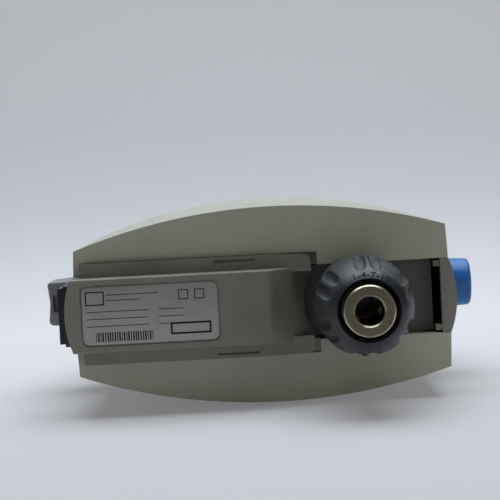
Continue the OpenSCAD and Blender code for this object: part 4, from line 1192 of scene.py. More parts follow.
    def _pan(self) -> Skin:
        """The pan as a closed wall: its surface, a skirt, and the same drawn in and raised by a thickness.

        Returns:
            The wall.
        """
        def border(grid: np.ndarray) -> np.ndarray:
            """The outermost points of a grid, in order."""
            return np.concatenate([grid[0, :-1], grid[:-1, -1], grid[-1, :0:-1], grid[:0:-1, 0]])

        def inward(points: np.ndarray) -> np.ndarray:
            """Draws points in towards the middle of the plan."""
            middle = np.array([0, self.middle_y, 0])
            return middle + (points - middle) * np.array([*self.drawn_in, 1])

        outer = self._surface()
        ring = border(outer)
        rim = ring.copy()
        rise = np.interp(ring[:, 1], self.rim_rise, [self.rim_high, self.top])
        rim[:, 2] = np.maximum(rise, ring[:, 2] + self.skirt)
        inner = inward(outer)
        inner[..., 2] += np.interp(outer[..., 1], self.rim_rise, self.wall)
        skin = Skin().grid(outer, around=False).grid(np.stack([ring, rim, inward(rim), border(inner)]))
        return skin.grid(inner, around=False)

    def build(self) -> None:
        """Makes the cover with pan, ledges, slots and recess in one piece, and what belongs to it."""
        piece = self._pan().piece("lower_cover_moulding")
        ledge = rounded_loop(np.array(self.ledge) * MM, np.array(self.ledge_radii) * MM, 4)
        slot = rounded_loop(rectangle(*self.slot) * MM, np.full(4, self.slot_radius), 3)
        for side in (-1, 1):
            grid = softened_block(ledge, self.ledge_z[0], self.top, self.ledge_z[1], 0.0, 4)
            grid[..., 0] *= side
            carve(piece, Skin().grid(grid, capped=True), "UNION")
            carve(piece, Skin().prism(slot * np.array([side, 1]), *self.slot_z))
        grow, radius, depth = self.recess
        carve(piece, Skin().prism(self._plate_loop(grow, radius), self.low - 1 * MM, self.low + depth))
        shade(piece.data, CARVED_SMOOTH_DEG)
        level_normals(piece)
        self.fit(piece, "housing", "cover_plastic", "lower_cover")
        self._build_plate()
        self._build_gasket()
        self._build_seam_shade_strips()

    def _build_seam_shade_strips(self) -> None:
        """Makes the thin dark strips of painted shade that fill the seam between each ledge and its shell."""
        skin = Skin()
        # painted shade: these black strips darken the gap between ledge and shell, where only shadow falls
        x0, x1, y0, y1, z0, z1 = self.seam_strip
        for side in (-1, 1):
            skin.prism(rectangle(side * x0, side * x1, y0, y1), z0, z1)
        self.fit(skin.piece("cover_seam_shade_strips"), "housing", "black_plastic")

    def _build_gasket(self) -> None:
        """Makes the black gasket that frames the power inlet's pad: a ring swept round the pad's outline."""
        def frame_loop(grow: float, soft: float) -> np.ndarray:
            """The pad's outline across x and z, grown outward."""
            w, low, high = self.pad[0] + grow, self.pad[1] - grow, self.pad[2] + grow
            return rounded_loop(rectangle(-w, w, low, high), np.full(4, soft), 4)

        (near, far), (rear, front), soft = self.gasket_reach, self.gasket_y, self.gasket_soft
        loops = zip((near, far, far - soft), self.gasket_radii)
        inner, outer, turned = (frame_loop(grow, radius) for grow, radius in loops)
        rows = [(inner, front), (outer, front), (outer, rear - soft), (turned, rear), (inner, rear),
                (inner, front)]
        points = [np.stack([loop[:, 0], np.full(len(loop), y), loop[:, 1]], 1) for loop, y in rows]
        piece = Skin().grid(np.stack(points)).piece("power_inlet_gasket")
        self.fit(piece, "housing", "black_plastic")

    def _plate_loop(self, grow: float, radius: float) -> np.ndarray:
        """Outline of the rating plate.

        Args:
            grow: how far it is grown outward.
            radius: radius of its corners.

        Returns:
            (n, 2) points.
        """
        w, l = self.plate_size[0] / 2 + grow, self.plate_size[1] / 2 + grow
        return rounded_loop(rectangle(-w, w, -l, l) + np.array([0, self.plate_centre]), np.full(4, radius), 8)

    def _build_plate(self) -> None:
        """Makes the blank film plate with a softened edge."""
        grid = softened_block(self._plate_loop(0, self.plate_radius), *self.plate_z, self.plate_soft, 0.0, 3)
        piece = Skin().grid(grid, capped=True).piece("blank_rating_plate")
        self.fit(piece, "housing", "plate_film", "rating_plate")


@dataclass
class PlatePrint(SubAssembly):
    """The plain ruled lines, empty boxes and stripes on the rating plate, with no wording.

    Lengths on the plate are in millimetres: along y from its rear edge, and x from its left edge.

    Attributes:
        face: z of the plate's face.
        ink: thickness of the print.
        sunk: how deep its blocks reach into the plate.
        edge: x of the plate's left edge and y of its rear edge.
        line: width of a rule.
        rules: start and end along y, and x, of each rule.
        boxes: start and end along y, start and end along x, and line width of each box.
        stripes: the stripes' area as a box.
        stripe: least width of a stripe, what is added to it, least gap and what is added to that.
    """

    face: float = -87.2 * MM
    ink: float = 0.03 * MM
    sunk: float = 0.05 * MM
    edge: tuple = (-11.6, -22.2)
    line: float = 0.28
    rules: tuple = ((9.8, 30.5, 3.4), (9.8, 23.0, 5.6), (1.6, 26.5, 10.0), (30.5, 40.5, 10.0),
                    (1.6, 26.5, 12.9), (30.5, 40.5, 12.9), (1.6, 26.5, 15.8), (30.5, 40.5, 15.8))
    boxes: tuple = ((1.4, 9.0, 1.8, 7.4, 0.5), (35.0, 51.2, 15.6, 20.4, 0.75), (38.6, 42.6, 2.6, 6.6, 0.35),
                    (45.0, 49.0, 2.6, 6.6, 0.35))
    stripes: tuple = (5.0, 28.0, 18.3, 22.0)
    stripe: tuple = (0.28, 0.34, 0.30, 0.22)

    def _bar(self, y0: float, y1: float, x0: float, x1: float) -> np.ndarray:
        """One thin printed rectangle as a closed block.

        Args:
            y0: start along y.
            y1: end along y.
            x0: start along x.
            x1: end along x.

        Returns:
            (2, 4, 3) grid.
        """
        edge_x, edge_y = self.edge
        loop = rectangle(edge_x + x0, edge_x + x1, edge_y - y1, edge_y - y0) * MM
        return stacked([loop, loop], [self.face - self.ink, self.face + self.sunk])

    def _stripe_bars(self) -> list[np.ndarray]:
        """Stripes with widths a + b |sin 1.7 i| and gaps c + d |cos 2.3 i|.

        Returns:
            Their blocks.
        """
        y0, y1, x0, x1 = self.stripes
        least, more, gap, more_gap = self.stripe
        width = least + more * np.abs(np.sin(np.arange(30) * 1.7))
        space = gap + more_gap * np.abs(np.cos(np.arange(29) * 2.3))
        start = y0 + np.cumsum(np.concatenate([[0], width[:-1] + space]))
        return [self._bar(a, a + w, x0, x1) for a, w in zip(start, width) if a + w < y1]

    def build(self) -> None:
        """Makes every rule, box and stripe as one thin piece."""
        half = self.line / 2
        bars = [self._bar(a, b, x - half, x + half) for a, b, x in self.rules]
        for y0, y1, x0, x1, w in self.boxes:
            bars += [self._bar(y0, y1, x0, x0 + w), self._bar(y0, y1, x1 - w, x1),
                     self._bar(y0, y0 + w, x0 + w, x1 - w), self._bar(y1 - w, y1, x0 + w, x1 - w)]
        skin = Skin()
        for bar in bars + self._stripe_bars():
            skin.grid(bar, capped=True)
        self.fit(skin.piece("plain_plate_print", weld=1e-7), "housing", "plate_film", look="print_ink")


@dataclass
class Chuck(SubAssembly):
    """The keyless chuck: its fluted sleeve, collar and printed range.

    Heights are measured from the nose face upward.

    Attributes:
        axis_y: y of the axis.
        nose: z of the nose face.
        widest_r: radius of the sleeve.
        dome_r: radius that the dome's ellipse would reach at its middle.
        dome_start: angle in degrees where the dome meets the mouth.
        dome_from: height of the ellipse's middle.
        dome_to: height of the widest ring.
        back: height of the sleeve's back edge.
        back_soft: rounding of the back edge.
        lip_soft: rounding of the mouth's lip.
        inside: radius and height of the points inside the sleeve, in millimetres.
        pairs: pairs of flutes round the sleeve.
        first_pair: angle of the first pair in degrees.
        spread: distance of each flute from its pair's middle.
        flute_w: width of a flute.
        flute_depth: depth of a flute.
        flute_span: heights between which a flute runs.
        flute_ends: share of a flute's length that rounds its front end, and where its back end starts.
        columns: columns round the sleeve.
        collar: lower and upper height, radius and bore of the collar.
        collar_soft: rounding of the collar's front and back edge.
        figures: the plain numbers of its range.
        figure_size: size of the numbers.
        figure_gap: spacing of the numbers.
        figure_swell: how much the strokes are thickened.
        figure_at: angle of the numbers' middle in degrees.
        figure_up: distance of the numbers from the mouth along the dome.
        ink: thickness of the print, and how far its middle stands off the dome.
    """

    axis_y: float = -133.4 * MM
    nose: float = -129.4 * MM
    widest_r: float = 19.3 * MM
    dome_r: float = 10.0 * MM
    dome_start: float = 13.7
    dome_from: float = 1.9 * MM
    dome_to: float = 26 * MM
    back: float = 41 * MM
    back_soft: float = 1.2 * MM
    lip_soft: float = 0.35 * MM
    inside: tuple = ((14.75, 41.0), (14.75, 30.85), (16.25, 30.85), (16.25, 24.15), (14.75, 24.15),
                     (14.75, 8.85), (10.8, 8.85), (10.8, 5.2))
    pairs: int = 6
    first_pair: float = 87.0
    spread: float = 2.95 * MM
    flute_w: float = 4.7 * MM
    flute_depth: float = 1.6 * MM
    flute_span: tuple = (5.6 * MM, 30.5 * MM)
    flute_ends: tuple = (0.22, 0.66)
    columns: int = 720
    collar: tuple = (41.4 * MM, 54.8 * MM, 18.5 * MM, 14.66 * MM)
    collar_soft: tuple = (0.8 * MM, 2.0 * MM)
    figures: str = "1-4-7-10"
    figure_size: float = 3.9 * MM
    figure_gap: float = 1.1
    figure_swell: float = 0.08 * MM
    figure_at: float = 84.0
    figure_up: float = 0.5 * MM
    ink: tuple = (0.05 * MM, 0.04 * MM)

    def _centre(self) -> tuple[float, float, float]:
        """The middle of the nose face."""
        return (0.0, self.axis_y, self.nose)

    def _wrap(self, r: np.ndarray, h: np.ndarray, angle: np.ndarray) -> np.ndarray:
        """Points at radius r and height h round the axis, at angles that turn from -Y towards -X.

        Args:
            r: radius.
            h: height.
            angle: angle in radians, of a shape that the others broadcast with.

        Returns:
            (..., 3) points.
        """
        r, h, a = np.broadcast_arrays(r, h, angle)
        x0, y0, z0 = self._centre()
        return np.stack([x0 - r * np.sin(a), y0 - r * np.cos(a), z0 + h], -1)

    def dome(self, t: np.ndarray) -> np.ndarray:
        """Radius and height on the dome: an ellipse quarter whose 90 degrees lie at the widest ring.

        Args:
            t: angle in degrees.

        Returns:
            (..., 2) radius and height.
        """
        t = np.radians(t)
        return np.stack([self.dome_r + (self.widest_r - self.dome_r) * np.sin(t),
                         self.dome_to - (self.dome_to - self.dome_from) * np.cos(t)], -1)

    def outline(self) -> np.ndarray:
        """Outer profile of the sleeve from the mouth's lip to the back edge.

        Returns:
            (n, 2) radius and height.
        """
        soft, turned = self.lip_soft, self.back_soft
        mouth = self.dome(np.array([self.dome_start]))[0]
        lip = arc_profile(200, 285, soft, (mouth[0], mouth[1] + soft), 6)
        sweep = np.concatenate([np.linspace(self.dome_start + 1.2, 22, 5), np.linspace(23.2, 90, 54)])
        up = np.linspace(self.dome_to, self.back - 3 * MM, 11)[1:]
        side = np.stack([np.full(len(up), self.widest_r), up], 1)
        turn = arc_profile(0, 90, turned, (self.widest_r - turned, self.back - turned), 6)
        return np.concatenate([lip, self.dome(sweep), side, turn])

    def flutes(self, profile: np.ndarray, angle: np.ndarray) -> np.ndarray:
        """Depth of the grip flutes over the sleeve.

        With t the way along the flute from 0 to 1 and w the distance across from its centre line, the
        depth is d (1 - t / 4) (1 - (w / half width)^2 - u^2)^0.6 where that is above zero, and u grows
        from 0 to 1 over the last part of either end, which rounds the flute's outline.

        Args:
            profile: (n, 2) outer profile.
            angle: (m,) angles round the sleeve in radians.

        Returns:
            (n, m) depth.
        """
        step = np.linalg.norm(np.diff(profile, axis=0), axis=1)
        s = np.concatenate([[0], np.cumsum(step)])[:, None]
        r = profile[:, 0][:, None]
        start, stop = np.interp(self.flute_span, profile[:, 1], s[:, 0])
        t = np.clip((s - start) / (stop - start), 0, 1)
        front, back = self.flute_ends
        u = np.clip((front - t) / front, 0, 1) + np.clip((t - back) / (1 - back), 0, 1)
        depth = np.zeros((len(profile), len(angle)))
        for k in range(self.pairs):
            middle = np.radians(self.first_pair + k * 360 / self.pairs)
            turn = (angle[None, :] - middle + np.pi) % (2 * np.pi) - np.pi
            for sign in (-1, 1):
                w = turn * r - sign * self.spread
                bowl = 1 - (w / (self.flute_w / 2)) ** 2 - u ** 2
                depth = np.maximum(depth, self.flute_depth * (1 - 0.25 * t) * np.clip(bowl, 0, 1) ** 0.6)
        return depth

    def build(self) -> None:
        """Makes the fluted sleeve as a closed turning with its inner groove, the collar and the range."""
        outer = self.outline()
        angle = np.linspace(0, 2 * np.pi, self.columns, endpoint=False)
        depth = self.flutes(outer, angle)
        ahead = np.gradient(outer, axis=0)
        normal = np.stack([ahead[:, 1], -ahead[:, 0]], 1)
        normal /= np.linalg.norm(normal, axis=1, keepdims=True)
        r, h = (outer[:, i][:, None] - depth * normal[:, i][:, None] for i in (0, 1))
        points = self._wrap(r, h, angle[None, :])
        inner = np.array(self.inside) * MM
        groove = self._wrap(inner[:, 0][:, None], inner[:, 1][:, None], angle[None, :])
        piece = Skin().grid(np.concatenate([points, groove, points[:1]])).piece("fluted_sleeve", 40)
        self.fit(piece, "sleeve", "chuck_plastic", "chuck_sleeve")
        self._build_collar()
        self._build_range()

    def _build_collar(self) -> None:
        """Makes the plain collar behind the sleeve, in a darker finish as painted shade."""
        (low, high, r, bore), (front, back) = self.collar, self.collar_soft
        profile = np.concatenate([
            [[bore, low]], arc_profile(270, 360, front, (r - front, low + front), 6),
            arc_profile(0, 90, back, (r - back, high - back), 8), [[bore, high], [bore, low]]])
        piece = Skin().grid(revolve(profile, self._centre(), 144)).piece("chuck_rear_collar")
        # painted shade: the darker black plastic look stands in for the shadow behind the sleeve
        self.fit(piece, "spindle", "chuck_plastic", "chuck_collar", look="black_plastic")

    def _figure_mesh(self) -> bpy.types.Mesh:
        """The numbers as a flat mesh with faces small enough to bend.

        Returns:
            The mesh.
        """
        text = bpy.data.curves.new("range_numbers", "FONT")
        text.body = self.figures
        text.size = self.figure_size
        text.align_x = "CENTER"
        text.space_character = self.figure_gap
        text.offset = self.figure_swell
        writing = bpy.data.objects.new("range_numbers", text)
        bpy.context.scene.collection.objects.link(writing)
        bpy.context.view_layer.update()
        mesh = bpy.data.meshes.new_from_object(writing.evaluated_get(bpy.context.evaluated_depsgraph_get()))
        bpy.data.objects.remove(writing)
        work = bmesh.new()
        work.from_mesh(mesh)
        bmesh.ops.triangulate(work, faces=work.faces)
        bmesh.ops.subdivide_edges(work, edges=work.edges, cuts=4, use_grid_fill=True)
        work.to_mesh(mesh)
        work.free()
        return mesh

    def _build_range(self) -> None:
        """Makes the plain numbers printed round the mouth.

        A point's height in the writing is its way s up the dome from the mouth, and its x is its way
        round the axis at the writing's mean radius.
        """
        mesh = self._figure_mesh()
        flat = np.empty(len(mesh.vertices) * 3)
        mesh.vertices.foreach_get("co", flat)
        flat = flat.reshape(-1, 3)
        sweep = np.linspace(self.dome_start, 60, 240)
        s = np.concatenate([[0], np.cumsum(np.linalg.norm(np.diff(self.dome(sweep), axis=0), axis=1))])
        t = np.interp(self.figure_up + flat[:, 1], s, sweep)
        normal = np.stack([(self.dome_to - self.dome_from) * np.sin(np.radians(t)),
                           (self.dome_r - self.widest_r) * np.cos(np.radians(t))], 1)
        normal /= np.linalg.norm(normal, axis=1, keepdims=True)
        thickness, proud = self.ink
        on = self.dome(t) + normal * proud
        angle = np.radians(self.figure_at) - flat[:, 0] / on[:, 0].mean()
        mesh.vertices.foreach_set("co", self._wrap(on[:, 0], on[:, 1], angle).ravel())
        mesh.update()
        piece = put("range_numbers", mesh)
        thick = piece.modifiers.new("ink", "SOLIDIFY")
        thick.thickness = thickness
        thick.offset = 0
        self.fit(piece, "sleeve", "black_plastic", look="print_ink")


@dataclass
class SpeedKnob(SubAssembly):
    """The speed knob on the front.

    Attributes:
        centre: where its axis meets the front panel.
        radius: radius by the panel.
        length: length out of the panel.
        taper: how much narrower it is at its face.
        foot: rounding by the panel.
        rim: rounding of its rim.
        rise: how far the middle of its face stands proud of the rim.
        face_r: how much smaller than the knob the domed part of its face is.
        socket: radius and depth of the hollow behind it.
        bore: radius of the shaft's bore, and how far the bore ends from the face.
    """

    centre: tuple = (0.0, -174.5 * MM, -4 * MM)
    radius: float = 11 * MM
    length: float = 15.4 * MM
    taper: float = 0.5 * MM
    foot: float = 0.5 * MM
    rim: float = 1.5 * MM
    rise: float = 0.75 * MM
    face_r: float = 2.2 * MM
    socket: tuple = (7.0 * MM, 3.2 * MM)
    bore: tuple = (3.05 * MM, 3.2 * MM)

    def build(self) -> None:
        """Makes the knob as a turning with a rounded rim and a domed face.

        The side narrows by taper t^1.5 and the face rises by rise (1 - (1 - t)^2) towards its middle.
        """
        (hollow_r, hollow_deep), (bore_r, bore_end) = self.socket, self.bore
        face, start = self.length - self.rise, 1.0 * MM
        t = np.linspace(0, 1, 9)
        inside = np.array([[0.0, self.length - bore_end], [bore_r, self.length - bore_end],
                           [bore_r, hollow_deep], [hollow_r, hollow_deep], [hollow_r, 0.0]])
        side = np.stack([self.radius - self.taper * t ** 1.5, start + (face - self.rim - start) * t], 1)
        rim_at = (self.radius - self.taper - self.rim, face - self.rim)
        t = t[1:-1]
        dome = np.stack([(self.radius - self.face_r) * (1 - t), face + self.rise * (1 - (1 - t) ** 2)], 1)
        profile = np.concatenate([
            inside, arc_profile(270, 360, self.foot, (self.radius - self.foot, self.foot), 4), side,
            arc_profile(0, 84, self.rim, rim_at, 8)[1:], dome, [[0.0, self.length]]])
        grid = revolve(profile, (0.0, 0.0, 0.0), 144, axis=1) * np.array([1, -1, 1]) + np.array(self.centre)
        self.fit(Skin().grid(grid).piece("blue_speed_knob"), "knob", "blue_plastic", "speed_knob")


@dataclass
class RodBoss(SubAssembly):
    """The cast boss that clamps the support rod, with its gusset and the flange inside.

    Attributes:
        half_width: half the boss's width.
        low: z of its underside.
        soft: rounding of its lower edge.
        shoulder: z where its rear face leans back into the gusset.
        shoulder_soft: height over which it starts to lean.
        edge: rounding of its other edges.
        top: z of the gusset's top.
        lips_y: y of its rear corners.
        waist: depth of the shallow hollow between them.
        gusset: how far the rear corners stand back at the shoulder and at the top.
        deep_y: y of its inner end.
        bore: radius of the rod's bore.
        bore_depth: depth of the rod's bore.
        pocket: x, y and z ranges of the set screw's pocket and its corner radius, in millimetres.
        flange: x, y and z ranges of the flange and its corner radius, in millimetres.
        screw_hole: radius, y, and z range of the set screw's hole.
    """

    half_width: float = 10.0 * MM
    low: float = -9.3 * MM
    soft: float = 1.3 * MM
    shoulder: float = 10.8 * MM
    shoulder_soft: float = 1.2 * MM
    edge: float = 0.35 * MM
    top: float = 38 * MM
    lips_y: float = 1.75 * MM
    waist: float = 1.2 * MM
    gusset: tuple = (0.5 * MM, 17.3 * MM)
    deep_y: float = -46 * MM
    bore: float = 6.05 * MM
    bore_depth: float = 42 * MM
    pocket: tuple = ((-4, 4), (-12, -0.9), (-12, -6.9), 0.8)
    flange: tuple = ((-20, 20), (-52, -46), (-14, 42), 1.5)
    screw_hole: tuple = (3.1 * MM, -7 * MM, (-9 * MM, -3 * MM))

    def _plan(self, rear: float) -> np.ndarray:
        """Outline at a height, with rounded rear corners and a shallow waist between them.

        Args:
            rear: y of the rear corners there.

        Returns:
            (n, 2) points.
        """
        w, hollow = self.half_width, 0.6 * self.waist
        corners = np.array([[-w, self.deep_y], [w, self.deep_y], [w, rear], [0.55 * w, rear - hollow],
                            [0, rear - self.waist], [-0.55 * w, rear - hollow], [-w, rear]])
        return rounded_loop(corners, np.array([0, 0, 2.2, 9, 14, 9, 2.2]) * MM, 6)

    def build(self) -> None:
        """Lofts the boss and its gusset and cuts the bore, the pocket and the screw hole."""
        t = np.radians(np.linspace(0, 90, 6))
        lean, back = self.gusset
        loops = [inset_loop(self._plan(self.lips_y), self.soft * (1 - math.sin(a))) for a in t]
        loops += [self._plan(self.lips_y - pull) for pull in (0.0, lean, back)]
        heights = [self.low + self.soft * (1 - math.cos(a)) for a in t]
        heights += [self.shoulder - self.shoulder_soft, self.shoulder, self.top]
        piece = Skin().grid(stacked(loops, heights), capped=True).piece("rod_boss_casting")
        carve(piece, self._block(*self.pocket))
        hole_r, hole_y, hole_z = self.screw_hole
        for radius, at, axis, span in ((self.bore, (0, 0, 0), 1, (-self.bore_depth, 5 * MM)),
                                       (hole_r, (0, hole_y, 0), 2, hole_z)):
            profile = np.array([[0, span[0]], [radius, span[0]], [radius, span[1]], [0, span[1]]])
            carve(piece, Skin().grid(revolve(profile, at, 96, axis=axis)))
        carve(piece, self._block(*self.flange), "UNION")
        shade(piece.data, CARVED_SMOOTH_DEG)
        bevel(piece, self.edge, 2, 50)
        self.fit(piece, "housing", "cast_aluminium", "rod_holder")

    @staticmethod
    def _block(x: tuple, y: tuple, z: tuple, radius: float) -> Skin:
        """A block in millimetres with rounded upright edges.

        Args:
            x: its range.
            y: its range.
            z: its range.
            radius: rounding of the upright edges.

        Returns:
            The block.
        """
        loop = rounded_loop(rectangle(*x, *y) * MM, np.full(4, radius * MM), 4)
        return Skin().prism(loop, *(np.array(z) * MM))


@dataclass
class CornerSeals(SubAssembly):
    """The four strips that close the seam between the spine and the shells round their top corners.

    Attributes:
        x: inner and outer distance from the mid plane.
        corners: y and z of each corner's centre, and the angle in degrees where it starts.
        radii: inner and outer radius.
    """

    x: tuple = (13.0 * MM, 15.27 * MM)
    corners: tuple = ((-150.8 * MM, 63 * MM, 90.0), (-38 * MM, 63 * MM, 0.0))
    radii: tuple = (16.4 * MM, 19.85 * MM)

    def build(self) -> None:
        """Makes each strip as a rectangle swept along an arc: y = c + r cos a and z = c + r sin a."""
        skin = Skin()
        section = rectangle(*self.radii, *self.x)
        for side in (-1, 1):
            for y0, z0, start in self.corners:
                a = np.radians(start + np.linspace(8, 82, 19))[:, None]
                r, x = section[:, 0][None, :], side * section[:, 1][None, :]
                points = np.stack(np.broadcast_arrays(x, y0 + r * np.cos(a), z0 + r * np.sin(a)), -1)
                skin.grid(points, capped=True)
        self.fit(skin.piece("corner_seals"), "housing", "cover_plastic")


@dataclass
class CarriedNodes(SubAssembly):
    """Dresses the CAD nodes that are shown as they are, and rounds the edges of the visible ones.

    Attributes:
        rounded: node, edge rounding in millimetres, slot and body of each piece that is rounded.
        looks: nodes, or what their names start with, that wear another finish than their slot's own.
        weld: distance below which a node's corners become one.
        flat: angle in degrees below which two faces are one.
    """

    rounded: tuple = (
        ("front_panel", 0.45, "cover_plastic", "housing"),
        ("top_cover", 0.45, "cover_plastic", "housing"),
        ("rear_panel", 0.45, "cover_plastic", "housing"),
        ("main_frame", 0.4, "cast_aluminium", "housing"),
        ("inlet_housing", 0.4, "black_plastic", "housing"),
        ("fuse_drawer", 0.3, "black_plastic", "drawer"),
        ("power_rocker", 0.3, "black_plastic", "rocker"),
    )
    looks: tuple = (("jaw_", "jaw_steel"), ("main_frame", "painted_frame"))
    weld: float = 5e-6
    flat: float = 0.6

    def _look(self, node: str, slot: str) -> str:
        """The finish that a node wears: the one named for it, or its slot's own."""
        return next((look for start, look in self.looks if node.startswith(start)), slot)

    def build(self) -> None:
        """Gives every node its material and rounds the outer pieces."""
        slots = {part["node"]: part["material_slot"] for part in frame["record"]["subparts"]}
        for name, piece in frame["nodes"].items():
            self.palette.dress(piece, self._look(name, slots[name]))
        for node, width, slot, body in self.rounded:
            self._round(node, width * MM, slot, body)

    def _round(self, node: str, width: float, slot: str, body: str) -> None:
        """Stands a copy of a CAD node with rounded edges in for it.

        Args:
            node: the CAD node.
            width: edge rounding.
            slot: its material slot.
            body: the body that it rides on.
        """
        mesh = frame["nodes"][node].data.copy()
        mesh.name = f"{node}_rounded"
        work = bmesh.new()
        work.from_mesh(mesh)
        bmesh.ops.remove_doubles(work, verts=work.verts, dist=self.weld)
        bmesh.ops.dissolve_limit(work, angle_limit=math.radians(self.flat), verts=work.verts,
                                 edges=work.edges)
        bmesh.ops.recalc_face_normals(work, faces=work.faces)
        work.to_mesh(mesh)
        work.free()
        piece = put(f"{node}_rounded", mesh)
        bevel(piece, width, 2)
        self.fit(piece, body, slot, node, look=self._look(node, slot))


# ----------------------------------------------------------------------------- the setting


@dataclass
class Lamp:
    """One soft rectangular lamp.

    Attributes:
        name: its name.
        at: where it hangs.
        to: the point that it faces.
        size: its two sides.
        power: in watts.
        colour: linear red, green and blue.
    """

    name: str
    at: tuple
    to: tuple
    size: tuple
    power: float
    colour: tuple

    def build(self) -> None:
        """Makes the lamp."""
        data = bpy.data.lights.new(self.name, "AREA")
        data.shape = "RECTANGLE"
        data.size, data.size_y = self.size
        data.energy = self.power
        data.color = self.colour
        lamp = bpy.data.objects.new(self.name, data)
        lamp.location = self.at
        lamp.rotation_euler = (Vector(self.to) - Vector(self.at)).to_track_quat("-Z", "Y").to_euler()
        bpy.context.scene.collection.objects.link(lamp)


LAMPS = (
    Lamp("overhead", (-0.95, -0.10, 0.10), (0.0, -0.09, 0.02), (1.1, 1.0), 13.8, (0.81, 0.885, 1.0)),
    Lamp("front_fill", (-0.10, -0.95, -0.75), (0.0, -0.12, 0.0), (0.7, 0.7), 1.3, (1.0, 0.95, 0.86)),
    Lamp("under_fill", (0.9, -0.3, 0.1), (0.0, -0.09, 0.0), (0.8, 0.8), 1.8, (1.0, 0.98, 0.94)),
)


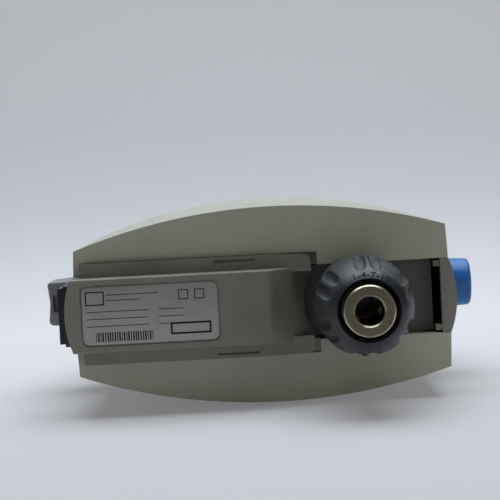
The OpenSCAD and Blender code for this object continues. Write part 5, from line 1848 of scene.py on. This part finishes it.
@dataclass
class Studio:
    """Floor, backdrop, lamps and camera. The object lies on its right side.

    Attributes:
        floor_x: x of the table, which the right side rests on.
        bend: radius between table and backdrop.
        near_z: z of the table's near edge.
        wall_z: z of the backdrop.
        wall_top: x of the backdrop's upper edge.
        width: y range of both.
        camera_at: place of the camera.
        camera_right: its right.
        camera_down: its down.
        camera_ahead: where it looks.
        lens: its focal length in millimetres on a sensor 36 wide.
        fill: linear colour and strength of the light from all round.
        backdrop: what the camera sees past the paper.
        wall_foot: how far the backdrop's lower edge stands above the bend.
        glow: strength and share of the paper's own light, which the camera and gloss see.
        glow_tint: colour of that light.
        painted_light_tones: the paper's lightness from the table's near edge to the top, as painted light and
            shade.
        tone_span: the two values of z - x between which the tones lie.
        tint: colour of the tones.
    """

    floor_x: float = 41.75 * MM
    bend: float = 0.30
    near_z: float = -0.62
    wall_z: float = 0.60
    wall_top: float = -0.9
    width: tuple = (-0.9, 0.75)
    camera_at: tuple = (-0.050352, -0.087265, -0.680793)
    camera_right: tuple = (0.0526053, -0.9985865, -0.0075926)
    camera_down: tuple = (0.9975676, 0.0528968, -0.0453954)
    camera_ahead: tuple = (0.0457328, -0.0051861, 0.9989402)
    lens: float = 107.5
    fill: tuple = ((0.94, 0.87, 0.70, 1.0), 0.074)
    backdrop: tuple = srgb(188, 193, 200)
    wall_foot: float = 0.04
    glow: tuple = (0.95, 0.28)
    glow_tint: tuple = (0.90, 0.95, 1.0, 1.0)
    painted_light_tones: tuple = ((0.0, 0.66), (0.15, 0.665), (0.24, 0.70), (0.33, 0.745), (0.41, 0.765), (0.47, 0.765),
                    (0.54, 0.70), (0.62, 0.585), (0.70, 0.54), (0.80, 0.57), (1.0, 0.57))
    tone_span: tuple = (-0.4, 1.1)
    tint: tuple = (1.01, 0.985, 0.975)

    def build(self) -> None:
        """Makes the whole setting."""
        self._camera()
        for lamp in LAMPS:
            lamp.build()
        self._world()
        self._floor()
        bpy.context.scene.view_settings.view_transform = "Standard"
        LOG.info("setting built")

    def _camera(self) -> None:
        """Places the camera under the object, looking up along its spindle."""
        data = bpy.data.cameras.new("camera")
        data.lens = self.lens
        data.sensor_width = 36
        data.clip_start = 0.01
        camera = bpy.data.objects.new("camera", data)
        views = (self.camera_right, self.camera_down, self.camera_ahead)
        right, down, ahead = (Vector(view).normalized() for view in views)
        turn = Matrix((right, -down, -ahead)).transposed().to_4x4()
        camera.matrix_world = Matrix.Translation(self.camera_at) @ turn
        bpy.context.scene.collection.objects.link(camera)
        bpy.context.scene.camera = camera

    def _world(self) -> None:
        """Makes the light from all round, and the plain backdrop that the camera sees past the paper."""
        world = bpy.data.worlds.new("room")
        bpy.context.scene.world = world
        world.use_nodes = True
        tree = Tree(world.node_tree)
        ground = world.node_tree.nodes["Background"]
        colour, strength = self.fill
        tree.feed(ground, {"Color": colour, "Strength": strength})
        seen = tree.node("ShaderNodeBackground", {"Color": self.backdrop, "Strength": 1.0})
        path = tree.node("ShaderNodeLightPath")
        pick = tree.node("ShaderNodeMixShader", {0: path.outputs["Is Camera Ray"], 1: ground.outputs[0],
                                                 2: seen.outputs[0]})
        tree.feed(world.node_tree.nodes["World Output"], {0: pick.outputs[0]})

    def _floor(self) -> None:
        """Makes the table and the backdrop as one swept sheet that is open from behind."""
        bend = arc_profile(90, 0, self.bend, (0.0, 0.0), 16)
        rise = np.stack([self.floor_x - self.bend + bend[:, 1], self.bend + bend[:, 0]], 1)
        run = np.array([[self.floor_x, z] for z in np.linspace(self.near_z, self.bend, 24)])
        foot = self.floor_x - self.bend - self.wall_foot
        wall = np.array([[x, self.wall_z] for x in np.linspace(foot, self.wall_top, 12)])
        line = np.concatenate([run, rise[1:], wall])
        sheet = np.linspace(*self.width, 12)
        grid = np.zeros((len(line), len(sheet), 3))
        grid[..., 0] = line[:, 0][:, None]
        grid[..., 1] = sheet[None, :]
        grid[..., 2] = line[:, 1][:, None]
        mesh = Skin().grid(grid, around=False).mesh("table_and_backdrop")
        if mesh.polygons[0].normal.x > 0:
            mesh.flip_normals()
        piece = put("table_and_backdrop", mesh, 60)
        piece.data.materials.append(self._paper())

    def _paper(self) -> bpy.types.Material:
        """Pale paper with painted light and shade, lightest across the table's back and greyer up the
        backdrop; clear from behind.

        Returns:
            The material.
        """
        material = bpy.data.materials.new("pale_paper")
        material.use_nodes = True
        tree = Tree(material.node_tree)
        shader = material.node_tree.nodes["Principled BSDF"]
        split = tree.node("ShaderNodeSeparateXYZ", {0: tree.place()})
        along = tree.math("SUBTRACT", split.outputs[2], split.outputs[0])
        ramp = tree.node("ShaderNodeValToRGB", {0: tree.ramp_linear(along, *self.tone_span)})
        ramp.color_ramp.elements.remove(ramp.color_ramp.elements[0])
        # painted light and shade: lightest across the back of the table, darker at its near edge and greying
        # up the bend to the backdrop
        for spot, tone in self.painted_light_tones:
            stop = ramp.color_ramp.elements.new(spot)
            stop.color = (*(tone * share for share in self.tint), 1.0)
        tree.feed(shader, {"Base Color": ramp.outputs[0], "Roughness": 0.9, "Specular IOR Level": 0.1})
        strength, share = self.glow
        cool = tree.mix(1.0, ramp.outputs[0], self.glow_tint, "MULTIPLY")
        glow = tree.node("ShaderNodeEmission", {"Color": cool, "Strength": strength})
        path = tree.node("ShaderNodeLightPath")
        seen = tree.math("MAXIMUM", path.outputs["Is Camera Ray"], path.outputs["Is Glossy Ray"])
        seen = tree.math("MAXIMUM", seen, path.outputs["Is Transmission Ray"])
        lifted = tree.node("ShaderNodeMixShader", {0: tree.math("MULTIPLY", seen, share),
                                                   1: shader.outputs[0], 2: glow.outputs[0]})
        clear = tree.node("ShaderNodeBsdfTransparent")
        back = tree.node("ShaderNodeNewGeometry")
        pick = tree.node("ShaderNodeMixShader", {0: back.outputs["Backfacing"], 1: lifted.outputs[0],
                                                 2: clear.outputs[0]})
        tree.feed(material.node_tree.nodes["Material Output"], {0: pick.outputs[0]})
        return material


def main() -> None:
    """Builds the setting, the materials and every piece."""
    logging.basicConfig(level=logging.INFO, format="%(name)s: %(message)s")
    Studio().build()
    palette = Palette(Effects())
    CarriedNodes(palette).build()
    for side in (-1, 1):
        SideShell(palette, side).build()
    for maker in (LowerCover, PlatePrint, RodBoss, CornerSeals, Chuck, SpeedKnob):
        maker(palette).build()


if __name__ == "__main__":
    main()
